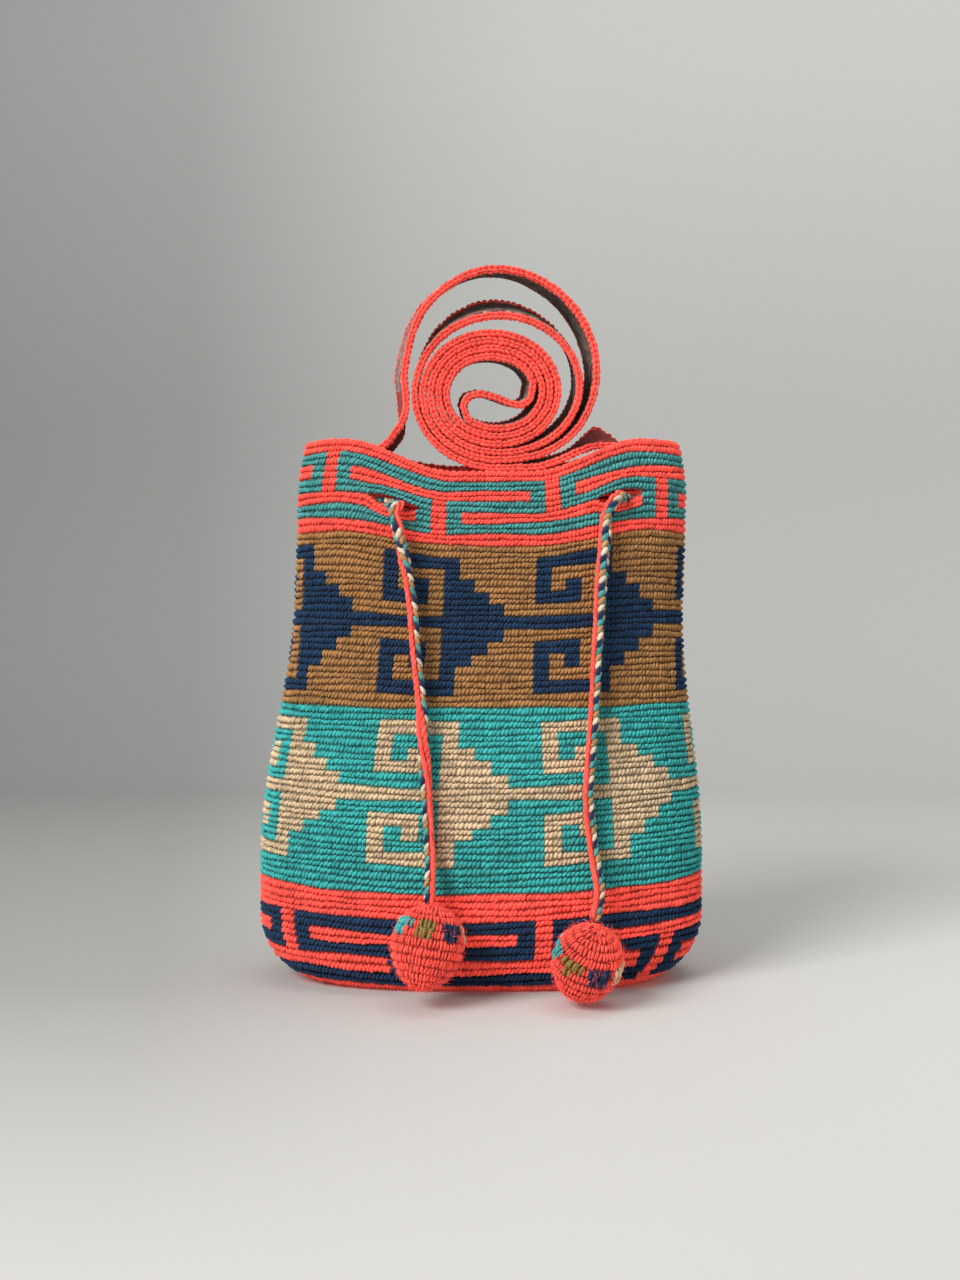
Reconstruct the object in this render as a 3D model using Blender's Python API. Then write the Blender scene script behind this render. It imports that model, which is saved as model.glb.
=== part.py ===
"""A wayuu mochila: a crocheted bag standing by itself, its woven strap rolled up on top of the mouth.

The crocheted body is turned as a round pot, pressed flat front to back, leaned and let sag at the
mouth. The strap is one flat band rolled from both ends into a double spiral. A braided drawstring
goes round the neck through four eyelets, and each of its tails carries a crocheted ball.

Metres, +Z up, the front facing -Y. The origin is on the ground under the middle of the belly.
"""
import math

import bmesh
import bpy
import numpy as np
from mathutils import Matrix, Vector

CLEARANCE = 0.0003
SHARP_DEGREES = 50
MERGE_DISTANCE = 1e-6

# Body: half sizes are measured from the middle of the section at that height
RIM_HEIGHT = 0.2380
RIM_HALF_WIDTH = 0.0830
RIM_HALF_DEPTH = 0.0260
RIM_TURN_IN = 0.0250
NECK_HEIGHT = 0.1700
NECK_HALF_WIDTH = 0.0865
NECK_HALF_DEPTH = 0.0290
BELLY_HEIGHT = 0.0550
BELLY_HALF_WIDTH = 0.0980
BELLY_HALF_DEPTH = 0.0430
CORNER_HEIGHT = 0.0300
CORNER_WIDTH = 0.0300
CORNER_DEPTH = 0.0150
SECTION_POWER = 2.5
INSET_POWER = 1.5
WALL = 0.0030
OUTLINE_STEPS, CORNER_STEPS, SECTION_STEPS = 79, 24, 720
NORMAL_REACH = 0.0005
SAG_FRONT = 0.0154
SAG_BACK = 0.0064
SAG_START_HEIGHT = 0.1100
SAG_FLAT_SHARE = 0.20
SAG_END_SHARE = 0.80
LEAN = 0.0050
LEAN_START_HEIGHT = 0.0500

# Crochet: stitches round the bag and rows down its wall, counted from the middle of the front
STITCHES_ROUND = 120
WALL_ROWS = 82
ROW_PITCH = 0.0029
ROWS_PER_RIDGE = 2
RIDGE_HEIGHT = 0.0005
BODY_SEGMENTS = 32
CORNER_LAST_SHARE = 0.25
BASE_SHARES = (1.0, 0.66, 0.33, 0.0)
INNER_BASE_SHARES = (0.0, 0.5, 0.9)
INNER_WALL_END = 0.0066
INNER_WALL_STEPS = 15

# Eyelets: middle stitch of each, the row they lie under, and their size
EYELET_STITCHES = (-13.0, 17.0, 47.0, 77.0)
EYELET_ROW = 8.6
EYELET_LENGTH = 0.0230
EYELET_SIDES = 16
EYELET_PLUG_DEPTH = 0.0180

# Drawstring
CORD_DIAMETER = 0.0058
CORD_ROOM = 0.0017
CORD_POINTS = 78
CORD_BEVEL_RESOLUTION = 2
CORD_SAMPLES_PER_STOP = 12
INSIDE_STOPS, BACK_STOPS = 5, 4

# How far from an eyelet's middle, in stitches, the drawstring lies outside, midway, inside and level
FRONT_ENTRY = 1.6
FRONT_SLANT = 0.6
EYELET_REACH = 3.1
RUN_START = 7.0

# Strap: a band rolled into a double spiral whose layers lie one pitch apart
STRAP_WIDTH = 0.0520
STRAP_THICKNESS = 0.0031
STRAP_EDGE_ROUNDING = 0.0010
ROLL_MIDDLE_X = 0.0057
ROLL_INNER_RADIUS = 0.01555
ROLL_OVALNESS = 0.00175
ROLL_BACK_SHIFT_X = -0.0020
ROLL_BACK_RISE = 0.0090
TIGHT_STEP_DEGREES = 15
LOOSE_STEP_DEGREES = 9
HAND_SAMPLES_PER_POINT = 2
ARM_A_LOOSE_START = 810
ARM_B_LOOSE_START = 630
ARM_A_DEGREES = 1080
ARM_B_DEGREES = 990
ARM_A_RULE_START = 45
ARM_B_RULE_START = 15
GATHER_START, GATHER_END = 1.2, 3.5
MOUTH_INNER_SHARE, MOUTH_OUTER_SHARE = 0.42, 0.52

# Balls on the tails
BALL_HALF_WIDTH = 0.0150
BALL_HALF_HEIGHT = 0.0170
BALL_ROWS = 10
BALL_SEGMENTS = 16
BALL_RIDGE = 0.0004


def material(name, hex_colour, roughness):
    """A plain cotton of one colour."""
    def to_linear(value):
        return value / 12.92 if value <= 0.04045 else ((value + 0.055) / 1.055) ** 2.4

    made = bpy.data.materials.new(name)
    made.use_nodes = True
    shader = made.node_tree.nodes["Principled BSDF"]
    channels = [int(hex_colour[start:start + 2], 16) / 255 for start in (1, 3, 5)]
    shader.inputs["Base Color"].default_value = [to_linear(value) for value in channels] + [1.0]
    shader.inputs["Roughness"].default_value = roughness
    shader.inputs["Metallic"].default_value = 0.0
    made.diffuse_color = shader.inputs["Base Color"].default_value
    return made


def object_from(bm, name, collection, materials):
    """Turn a bmesh into a smooth-shaded object with its materials."""
    if bm.calc_volume(signed=True) < 0:
        bmesh.ops.reverse_faces(bm, faces=bm.faces)
    mesh = bpy.data.meshes.new(name)
    bm.to_mesh(mesh)
    bm.free()
    for entry in materials:
        mesh.materials.append(entry)
    made = bpy.data.objects.new(name, mesh)
    collection.objects.link(made)
    mesh.shade_smooth()
    mesh.set_sharp_from_angle(angle=math.radians(SHARP_DEGREES))
    return made


def smoothstep(low, high, value):
    """Rise from 0 to 1 between low and high, with flat ends."""
    share = np.clip((value - low) / (high - low), 0.0, 1.0)
    return share * share * (3.0 - 2.0 * share)


def through_points(points, samples_per_span):
    """A smooth curve through a list of points, ends included."""
    rows = [np.array(point, dtype=float) for point in points]
    rows = [2 * rows[0] - rows[1]] + rows + [2 * rows[-1] - rows[-2]]
    curve = []
    for before, start, end, after in zip(rows, rows[1:], rows[2:], rows[3:]):
        for step in range(samples_per_span):
            t = step / samples_per_span
            bend = (2 * before - 5 * start + 4 * end - after) * t * t
            twist = (3 * start - before - 3 * end + after) * t ** 3
            curve.append(0.5 * (2 * start + (end - before) * t + bend + twist))
    curve.append(rows[-2])
    return np.array(curve)


def evenly_spaced(curve, count):
    """The same curve with a given number of points at equal steps."""
    steps = np.linalg.norm(np.diff(curve, axis=0), axis=1)
    travelled = np.concatenate(([0.0], np.cumsum(steps)))
    wanted = np.linspace(0.0, travelled[-1], count)
    return np.column_stack([np.interp(wanted, travelled, axis) for axis in curve.T])


# Body form

def blend_down(neck_size, belly_size, height):
    """A half size between neck and belly, by height."""
    share = np.clip((NECK_HEIGHT - height) / (NECK_HEIGHT - BELLY_HEIGHT), 0.0, 1.0)
    return neck_size + (belly_size - neck_size) * 0.5 * (1.0 - np.cos(math.pi * share))


def corner_cut(reach, height):
    """How far the rounded bottom corner draws in at a height."""
    below = np.clip((CORNER_HEIGHT - height) / CORNER_HEIGHT, 0.0, 1.0)
    return reach * (1.0 - np.sqrt(1.0 - below * below))


def turn_in(amount, height):
    """How far the drawn-in mouth is narrower than the neck at a height."""
    above = np.clip((height - RIM_HEIGHT + RIM_TURN_IN) / RIM_TURN_IN, 0.0, 1.0)
    return amount * above * above


def half_width(height):
    """Half the width of the outer skin at a height."""
    width = blend_down(NECK_HALF_WIDTH, BELLY_HALF_WIDTH, height)
    width = width - turn_in(NECK_HALF_WIDTH - RIM_HALF_WIDTH, height)
    return width - corner_cut(CORNER_WIDTH, height)


def half_depth(height):
    """Half the depth of the outer skin at a height."""
    depth = blend_down(NECK_HALF_DEPTH, BELLY_HALF_DEPTH, height)
    depth = depth - turn_in(NECK_HALF_DEPTH - RIM_HALF_DEPTH, height)
    return depth - corner_cut(CORNER_DEPTH, height)


def silhouette():
    """The outer skin's outline from the rim to the middle of the base, as (radius, height) rows."""
    straight = np.linspace(RIM_HEIGHT, CORNER_HEIGHT, OUTLINE_STEPS + 1)
    turns = np.radians(np.linspace(0.0, 90.0, CORNER_STEPS + 1)[1:])
    heights = np.concatenate((straight, CORNER_HEIGHT * (1.0 - np.sin(turns))))
    outline = np.column_stack((half_width(heights), heights))
    return np.vstack((outline, [0.0, 0.0]))


def along_silhouette(drop):
    """Radius, height and outward normal of the outline at a distance down from the rim."""
    outline = silhouette()
    steps = np.linalg.norm(np.diff(outline, axis=0), axis=1)
    travelled = np.concatenate(([0.0], np.cumsum(steps)))
    ahead = np.array([np.interp(drop + NORMAL_REACH, travelled, axis) for axis in outline.T])
    behind = np.array([np.interp(drop - NORMAL_REACH, travelled, axis) for axis in outline.T])
    radius, height = [np.interp(drop, travelled, axis) for axis in outline.T]
    run = ahead - behind
    normal = np.array((-run[1], run[0])) / np.linalg.norm(run)
    return radius, height, normal


def section_angle(share, wide, deep):
    """The section's own angle at a share of the way round from the middle of the front."""
    angles = np.linspace(-0.5 * math.pi, 1.5 * math.pi, SECTION_STEPS + 1)
    outline = np.column_stack(section_at(angles, wide, deep))
    steps = np.linalg.norm(np.diff(outline, axis=0), axis=1)
    travelled = np.concatenate(([0.0], np.cumsum(steps)))
    return np.interp((share % 1.0) * travelled[-1], travelled, angles)


def section_at(angle, wide, deep):
    """A point of a flattened round section with given half sizes."""
    across = np.cos(angle)
    along = np.sin(angle)
    power = 2.0 / SECTION_POWER
    return wide * np.sign(across) * np.abs(across) ** power, deep * np.sign(along) * np.abs(along) ** power


def settle(x, y, height):
    """Lower a point of the upright bag by the mouth's sag and shift it by the lean."""
    reach = abs(x) / half_width(max(height, CORNER_HEIGHT))
    middle = 1.0 - smoothstep(SAG_FLAT_SHARE, SAG_END_SHARE, reach)
    rise = max(0.0, height - SAG_START_HEIGHT) / (RIM_HEIGHT - SAG_START_HEIGHT)
    lean = LEAN * smoothstep(LEAN_START_HEIGHT, RIM_HEIGHT, height)
    sag = SAG_FRONT + (SAG_BACK - SAG_FRONT) * smoothstep(-NECK_HALF_DEPTH, NECK_HALF_DEPTH, y)
    return Vector((x + lean, y, height - sag * middle * rise * rise))


def press_flat(share, radius, height):
    """Move a point of the turned pot to its place in the flattened bag."""
    wide = float(half_width(height))
    deep = float(half_depth(height))
    inset = max(0.0, wide - radius)
    angle = section_angle(share, wide, deep)
    inner_deep = deep + radius - wide + (wide - deep) * (inset / wide) ** INSET_POWER
    x, y = section_at(angle, radius, max(0.0, inner_deep))
    return settle(float(x), float(y), height)


def wall_point(stitch, row, outward):
    """A point by crochet stitch and row, a distance outward from the wall's outer skin."""
    radius, height, normal = along_silhouette(row * ROW_PITCH)
    return press_flat(stitch / STITCHES_ROUND, radius + outward * normal[0], height + outward * normal[1])


def wall_frame(stitch, row):
    """The place and the axes (along the row, up, outward) at a stitch of the wall."""
    middle = wall_point(stitch, row, 0.0)
    along = (wall_point(stitch + 1, row, 0.0) - wall_point(stitch - 1, row, 0.0)).normalized()
    up = (wall_point(stitch, row - 1, 0.0) - wall_point(stitch, row + 1, 0.0)).normalized()
    outward = along.cross(up).normalized()
    return middle, along, outward.cross(along), outward


# Body

def pot_profile():
    """The pot's profile: ridged outer wall, base, plain inner wall and back to the rim."""
    profile = []
    ridges = WALL_ROWS // ROWS_PER_RIDGE
    for step in range(2 * ridges + 1):
        radius, height, normal = along_silhouette(step * ROWS_PER_RIDGE * ROW_PITCH / 2)
        bulge = RIDGE_HEIGHT if step % 2 else 0.0
        profile.append((radius + bulge * normal[0], height + bulge * normal[1]))
    wall_end, wall_end_height = profile[-1]
    base_edge = float(half_width(0.0))
    profile.append((0.5 * (wall_end + base_edge), CORNER_LAST_SHARE * wall_end_height))
    for share in BASE_SHARES:
        profile.append((base_edge * share, 0.0))
    for share in INNER_BASE_SHARES:
        profile.append((base_edge * share, WALL))
    inner = []
    for height in np.linspace(RIM_HEIGHT, INNER_WALL_END, INNER_WALL_STEPS):
        inner.append((float(half_width(height)) - WALL, float(height)))
    return profile + inner[::-1]


BAND_CELLS = (("coral_cotton", 1), ("teal_cotton", 1), ("coral_cotton", 1), ("teal_cotton", 1),
              ("coral_cotton", 1), ("teal_cotton", 1), ("coral_cotton", 1), ("brown_cotton", 13),
              ("teal_cotton", 14), ("coral_cotton", 2), ("navy_cotton", 1), ("coral_cotton", 1),
              ("navy_cotton", 1), ("coral_cotton", 1), ("navy_cotton", 1))


def build_body(collection, cutters, yarns):
    """The one-piece crocheted body with its four eyelets."""
    bm = bmesh.new()
    profile = pot_profile()
    rows = [bm.verts.new((radius, 0.0, height)) for radius, height in profile]
    edges = [bm.edges.new(pair) for pair in zip(rows, rows[1:] + rows[:1])]
    bmesh.ops.spin(bm, geom=rows + edges, cent=(0, 0, 0), axis=(0, 0, 1), angle=2 * math.pi,
                   steps=BODY_SEGMENTS, use_merge=True, use_duplicate=False)
    bmesh.ops.remove_doubles(bm, verts=bm.verts, dist=MERGE_DISTANCE)
    order = list(yarns)
    cell_yarns = [name for name, cells in BAND_CELLS for _ in range(cells)]
    outline_steps = {}
    for cell in range(len(cell_yarns)):
        outline_steps[cell] = along_silhouette((cell + 1) * ROWS_PER_RIDGE * ROW_PITCH)[1]
    for face in bm.faces:
        middle = face.calc_center_median()
        outer = math.hypot(middle.x, middle.y) > half_width(max(middle.z, 0.0)) - 0.5 * WALL
        face.material_index = order.index("coral_cotton")
        if outer:
            below = [cell for cell, height in outline_steps.items() if middle.z > height]
            if below:
                face.material_index = order.index(cell_yarns[min(below)])
    for vert in bm.verts:
        share = (math.atan2(vert.co.y, vert.co.x) + 0.5 * math.pi) / (2 * math.pi)
        vert.co = press_flat(share, math.hypot(vert.co.x, vert.co.y), vert.co.z)
    body = object_from(bm, "bag_body", collection, list(yarns.values()))
    for number, stitch in enumerate(EYELET_STITCHES, start=1):
        cutter = build_eyelet_cutter(f"eyelet_cutter_{number}", stitch, cutters)
        cut = body.modifiers.new(f"eyelet_{number}", "BOOLEAN")
        cut.operation = "DIFFERENCE"
        cut.solver = "EXACT"
        cut.object = cutter
    return body


def build_eyelet_cutter(name, stitch, cutters):
    """A lens-shaped plug through the wall, a little taller than the cord."""
    middle, along, up, outward = wall_frame(stitch, EYELET_ROW)
    bm = bmesh.new()
    bmesh.ops.create_cone(bm, cap_ends=True, segments=EYELET_SIDES, radius1=1.0, radius2=1.0, depth=1.0)
    height = CORD_DIAMETER + 4 * CLEARANCE
    size = Matrix.Diagonal((0.5 * EYELET_LENGTH, 0.5 * height, EYELET_PLUG_DEPTH, 1.0))
    frame = Matrix((along, up, outward)).transposed().to_4x4()
    bm.transform(Matrix.Translation(middle) @ frame @ size)
    cutter = object_from(bm, name, cutters, [])
    cutter.hide_render = True
    cutter.display_type = "WIRE"
    return cutter


# Strap

def roll_middle_height():
    """Height of the roll's middle, with its lowest layer lying on the sagging rims."""
    lowest = arm_radius(ARM_B_DEGREES, 1.5 * math.pi)
    return RIM_HEIGHT - SAG_FRONT + CLEARANCE + 0.5 * STRAP_THICKNESS + lowest


def arm_radius(degrees, angle):
    """Radius of an arm of the double spiral after it has turned so far outward."""
    pitch = STRAP_THICKNESS + CLEARANCE
    return ROLL_INNER_RADIUS + ROLL_OVALNESS * math.cos(2 * angle) + pitch * degrees / 180


# How far the loose outer turns stand off the spiral, by degrees: front edge, then back edge
ARM_A_SLACK = ((0, 0, 0), (810, 0, 0), (828, 0.0003, 0.0003), (845, 0.0018, 0.0018), (870, 0.0050, 0.0060),
               (900, 0.0089, 0.0109), (930, 0.0140, 0.0150), (960, 0.0190, 0.0200),
               (990, 0.0210, 0.0230), (1025, 0.0140, 0.0167), (1055, 0.0048, 0.0082),
               (1080, 0.0006, 0.0045))
ARM_B_SLACK = ((0, 0, 0), (630, 0, 0), (665, 0.0012, 0.0012), (690, 0.0034, 0.0044),
               (720, 0.0058, 0.0085), (776, 0.0056, 0.0121), (810, 0.0042, 0.0125),
               (845, 0.0022, 0.0069), (880, 0.0004, 0.0006), (905, 0, 0), (990, 0, 0))

# Hand-chosen places from the roll's middle: front edge across and up, back edge across and up
S_BEND = ((-0.0122, -0.0096, -0.0122, -0.0096), (-0.0131, -0.0050, -0.0131, -0.0050),
          (-0.0105, -0.0015, -0.0105, -0.0015), (-0.0050, -0.0007, -0.0050, -0.0007),
          (0.0010, -0.0023, 0.0010, -0.0023), (0.0070, -0.0046, 0.0070, -0.0046),
          (0.0118, -0.0054, 0.0118, -0.0054), (0.0155, -0.0030, 0.0155, -0.0030))

# The two ends, from the roll down into the corners of the mouth: front edge x and z, back edge x and z
END_A = ((-0.0324, 0.2515, -0.0378, 0.2600), (-0.0331, 0.2470, -0.0372, 0.2530),
         (-0.0352, 0.2425, -0.0372, 0.2466), (-0.0405, 0.2366, -0.0408, 0.2396),
         (-0.0470, 0.2325, -0.0470, 0.2342), (-0.0580, 0.2305, -0.0580, 0.2308),
         (-0.0680, 0.2300, -0.0680, 0.2300), (-0.0738, 0.2300, -0.0738, 0.2300))
END_B = ((0.0150, 0.2245, 0.0140, 0.2336), (0.0250, 0.2250, 0.0240, 0.2340),
         (0.0350, 0.2283, 0.0340, 0.2352), (0.0430, 0.2320, 0.0425, 0.2390),
         (0.0490, 0.2345, 0.0486, 0.2445), (0.0560, 0.2350, 0.0537, 0.2482),
         (0.0615, 0.2340, 0.0592, 0.2440), (0.0670, 0.2320, 0.0647, 0.2375),
         (0.0750, 0.2303, 0.0745, 0.2315), (0.0838, 0.2300, 0.0838, 0.2300))
END_HALF_WIDTH = 0.0065


def smooth_value(at, table, column):
    """Read a column of a table between its lines, with smooth turns and never below zero."""
    lines = np.array(table, dtype=float)
    places, values = lines[:, 0], lines[:, column]
    slopes = np.gradient(values, places)
    low = int(np.clip(np.searchsorted(places, at) - 1, 0, len(places) - 2))
    step = places[low + 1] - places[low]
    t = (at - places[low]) / step
    level = (1 + 2 * t) * (1 - t) ** 2 * values[low] + t * t * (3 - 2 * t) * values[low + 1]
    return max(0.0, level + step * t * (1 - t) * ((1 - t) * slopes[low] - t * slopes[low + 1]))


def arm_points(first, loose_start, last, phase, slack):
    """Rule-made points of one arm, as rows of front x, front z, back x and back z."""
    tight = np.linspace(first, loose_start, round((loose_start - first) / TIGHT_STEP_DEGREES) + 1)
    loose = np.linspace(loose_start, last, round((last - loose_start) / LOOSE_STEP_DEGREES) + 1)
    rows = []
    for degrees in np.concatenate((tight, loose[1:])):
        angle = math.radians(phase + degrees)
        front, back = [arm_radius(degrees, angle) + smooth_value(degrees, slack, column) for column in (1, 2)]
        across, up = math.cos(angle), math.sin(angle)
        middle_z = roll_middle_height()
        rows.append([ROLL_MIDDLE_X + front * across, middle_z + front * up,
                     ROLL_MIDDLE_X + ROLL_BACK_SHIFT_X + back * across, middle_z + ROLL_BACK_RISE + back * up])
    return rows


def hand_points(points, shift=(0.0, 0.0, 0.0, 0.0)):
    """Hand-chosen points, made smooth and shifted."""
    return (through_points(points, HAND_SAMPLES_PER_POINT) + shift).tolist()


def strap_path():
    """The whole strap from its left end to its right end, front and back edges side by side."""
    arm_a = arm_points(ARM_A_RULE_START, ARM_A_LOOSE_START, ARM_A_DEGREES, 180, ARM_A_SLACK)
    arm_b = arm_points(ARM_B_RULE_START, ARM_B_LOOSE_START, ARM_B_DEGREES, 0, ARM_B_SLACK)
    middle_z = roll_middle_height()
    s_bend = hand_points(S_BEND, (ROLL_MIDDLE_X, middle_z, ROLL_MIDDLE_X + ROLL_BACK_SHIFT_X,
                                  middle_z + ROLL_BACK_RISE))
    path = hand_points(END_A)[::-1] + arm_a[::-1] + s_bend + arm_b + hand_points(END_B)
    return np.array(path)


def mouth_half_room(x):
    """Half the room between the front and back walls inside the mouth, less the clearance."""
    reach = min(0.999, abs(x - LEAN) / (RIM_HALF_WIDTH - WALL))
    room = (RIM_HALF_DEPTH - WALL) * (1.0 - reach ** SECTION_POWER) ** (1.0 / SECTION_POWER)
    return room - 2 * CLEARANCE


def strap_half_width(x, height, side):
    """The strap's half width on one side, gathered where it goes down between the rims."""
    full = 0.5 * STRAP_WIDTH
    reach = abs(x - LEAN)
    rim = settle(x - LEAN, side * RIM_HALF_DEPTH, RIM_HEIGHT).z if reach < RIM_HALF_WIDTH else RIM_HEIGHT
    sunk = 1.0 - smoothstep(rim + GATHER_START * STRAP_THICKNESS, rim + GATHER_END * STRAP_THICKNESS, height)
    outside = smoothstep(MOUTH_INNER_SHARE, MOUTH_OUTER_SHARE, reach / RIM_HALF_WIDTH)
    gathered = max(END_HALF_WIDTH, min(full, mouth_half_room(x)))
    return full + (gathered - full) * sunk * outside


def build_strap(collection, yarns):
    """The band: a flat section with rounded edges swept along the rolled path."""
    path = strap_path()
    half = 0.5 * STRAP_THICKNESS
    rings = []
    bm = bmesh.new()
    for index, (front_x, front_z, back_x, back_z) in enumerate(path):
        before = path[max(0, index - 1)]
        after = path[min(len(path) - 1, index + 1)]
        edge_points = []
        for x, z, column, side in ((front_x, front_z, 0, -1.0), (back_x, back_z, 2, 1.0)):
            run = after[column:column + 2] - before[column:column + 2]
            normal = np.array((-run[1], run[0])) / np.linalg.norm(run)
            y = side * strap_half_width(x, z, side)
            inner_y = y - side * STRAP_EDGE_ROUNDING
            top = (x + half * normal[0], inner_y, z + half * normal[1])
            bottom = (x - half * normal[0], inner_y, z - half * normal[1])
            edge_points.append((top, (x, y, z), bottom))
        (front_top, front_tip, front_bottom), (back_top, back_tip, back_bottom) = edge_points
        loop = (front_tip, front_top, back_top, back_tip, back_bottom, front_bottom)
        rings.append([bm.verts.new(place) for place in loop])
    for ring, following in zip(rings, rings[1:]):
        for corner in range(6):
            other = (corner + 1) % 6
            bm.faces.new((ring[corner], ring[other], following[other], following[corner]))
    bm.faces.new(rings[0][::-1])
    bm.faces.new(rings[-1])
    return object_from(bm, "shoulder_strap", collection, [yarns["coral_cotton"]])


# Drawstring and balls

# Tails from the eyelet down to the ball, chosen from how they hang
LEFT_TAIL = ((-0.0372, -0.0345, 0.2040), (-0.0337, -0.0347, 0.1900), (-0.0297, -0.0353, 0.1670),
             (-0.0278, -0.0372, 0.1450), (-0.0252, -0.0405, 0.1220), (-0.0240, -0.0430, 0.1040),
             (-0.0226, -0.0452, 0.0840), (-0.0214, -0.0470, 0.0640), (-0.0210, -0.0520, 0.0510))
RIGHT_TAIL = ((0.0540, -0.0303, 0.2040), (0.0526, -0.0315, 0.1920), (0.0506, -0.0328, 0.1680),
              (0.0492, -0.0348, 0.1460), (0.0478, -0.0375, 0.1245), (0.0460, -0.0412, 0.1035),
              (0.0446, -0.0435, 0.0840), (0.0464, -0.0450, 0.0640), (0.0488, -0.0490, 0.0460))
LEFT_BALL = (-0.0219, -0.0580, 0.0250)
RIGHT_BALL = (0.0430, -0.0580, 0.0186)


def neck_route():
    """The drawstring round the neck: inside at the left and right, outside along the back."""
    inside = -(WALL + CORD_ROOM + 0.5 * CORD_DIAMETER)
    outside = RIDGE_HEIGHT + CORD_ROOM + 0.5 * CORD_DIAMETER
    through = -0.5 * WALL
    front_left = EYELET_STITCHES[0]
    front_right, back_right, back_left = [stitch - STITCHES_ROUND for stitch in EYELET_STITCHES[1:]]
    stops = [(front_left + FRONT_ENTRY, outside), (front_left - FRONT_SLANT, through)]
    stops += [(front_left - EYELET_REACH, inside)]
    left_run = np.linspace(front_left - RUN_START, back_left + RUN_START, INSIDE_STOPS)
    stops += [(stitch, inside) for stitch in left_run]
    stops += [(back_left + EYELET_REACH, inside), (back_left, through), (back_left - EYELET_REACH, outside)]
    back_run = np.linspace(back_left - RUN_START, back_right + RUN_START, BACK_STOPS)
    stops += [(stitch, outside) for stitch in back_run]
    stops += [(back_right + EYELET_REACH, outside), (back_right, through), (back_right - EYELET_REACH, inside)]
    right_run = np.linspace(back_right - RUN_START, front_right + RUN_START, INSIDE_STOPS)
    stops += [(stitch, inside) for stitch in right_run]
    stops += [(front_right + EYELET_REACH, inside), (front_right + FRONT_SLANT, through)]
    stops += [(front_right - FRONT_ENTRY, outside)]
    return [tuple(wall_point(stitch, EYELET_ROW, outward)) for stitch, outward in stops]


def ball_axis(middle, tail):
    """The way up a ball, towards the tail that it hangs on."""
    return (Vector(tail[-1]) - Vector(middle)).normalized()


def tail_end(middle, tail):
    """Where a tail meets the top of its ball."""
    return tuple(Vector(middle) + (BALL_HALF_HEIGHT + CLEARANCE) * ball_axis(middle, tail))


def build_drawstring(collection, yarns):
    """One braided cord: a round tube along its route from ball to ball."""
    left = [tail_end(LEFT_BALL, LEFT_TAIL)] + list(LEFT_TAIL[::-1])
    right = list(RIGHT_TAIL) + [tail_end(RIGHT_BALL, RIGHT_TAIL)]
    route = left + neck_route() + right
    points = evenly_spaced(through_points(route, CORD_SAMPLES_PER_STOP), CORD_POINTS)
    curve = bpy.data.curves.new("drawstring", "CURVE")
    curve.dimensions = "3D"
    curve.bevel_depth = 0.5 * CORD_DIAMETER
    curve.bevel_resolution = CORD_BEVEL_RESOLUTION
    curve.use_fill_caps = True
    spline = curve.splines.new("POLY")
    spline.points.add(len(points) - 1)
    for point, place in zip(spline.points, points):
        point.co = (*place, 1.0)
    curve.materials.append(yarns["coral_cotton"])
    made = bpy.data.objects.new("drawstring", curve)
    collection.objects.link(made)
    return made


def build_ball(name, middle, tail, collection, yarns):
    """A crocheted ball: an egg turned in rows, hung on the end of its tail."""
    bm = bmesh.new()
    profile = []
    steps = 2 * BALL_ROWS
    for step in range(steps + 1):
        turn = math.pi * step / steps
        ridge = BALL_RIDGE if step % 2 else 0.0
        radius = (BALL_HALF_WIDTH + ridge) * math.sin(turn)
        profile.append((max(0.0, radius), BALL_HALF_HEIGHT * math.cos(turn)))
    rows = [bm.verts.new((radius, 0.0, height)) for radius, height in profile]
    edges = [bm.edges.new(pair) for pair in zip(rows, rows[1:])]
    bmesh.ops.spin(bm, geom=rows + edges, cent=(0, 0, 0), axis=(0, 0, 1), angle=2 * math.pi,
                   steps=BALL_SEGMENTS, use_merge=True, use_duplicate=False)
    bmesh.ops.remove_doubles(bm, verts=bm.verts, dist=MERGE_DISTANCE)
    up = ball_axis(middle, tail)
    bm.transform(Matrix.Translation(middle) @ up.to_track_quat("Z", "Y").to_matrix().to_4x4())
    return object_from(bm, name, collection, [yarns["coral_cotton"]])


def main():
    """Clear the scene and build the bag."""
    for leftover in list(bpy.data.objects):
        bpy.data.objects.remove(leftover, do_unlink=True)
    collection = bpy.data.collections.new("wayuu_mochila")
    cutters = bpy.data.collections.new("cutters")
    for made in (collection, cutters):
        bpy.context.scene.collection.children.link(made)
    yarns = {
        "coral_cotton": material("coral_cotton", "#F2594C", 0.85),
        "teal_cotton": material("teal_cotton", "#2FA39B", 0.85),
        "brown_cotton": material("brown_cotton", "#9A6B3C", 0.85),
        "navy_cotton": material("navy_cotton", "#1F3C5E", 0.85),
    }
    build_body(collection, cutters, yarns)
    build_strap(collection, yarns)
    build_drawstring(collection, yarns)
    build_ball("ball_left", LEFT_BALL, LEFT_TAIL, collection, yarns)
    build_ball("ball_right", RIGHT_BALL, RIGHT_TAIL, collection, yarns)


main()
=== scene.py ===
# %% [markdown]
# A wayuu mochila. The bag is tapestry crochet in cotton: every colour change is a change of yarn inside
# one fabric, so the pattern is made of whole stitches. Here each stitch is a small mesh of its own,
# placed on the bag's skin by a rule, because a painted texture would look flat from the side.

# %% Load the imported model, which fixes every size and place
import math
from functools import partial

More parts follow.
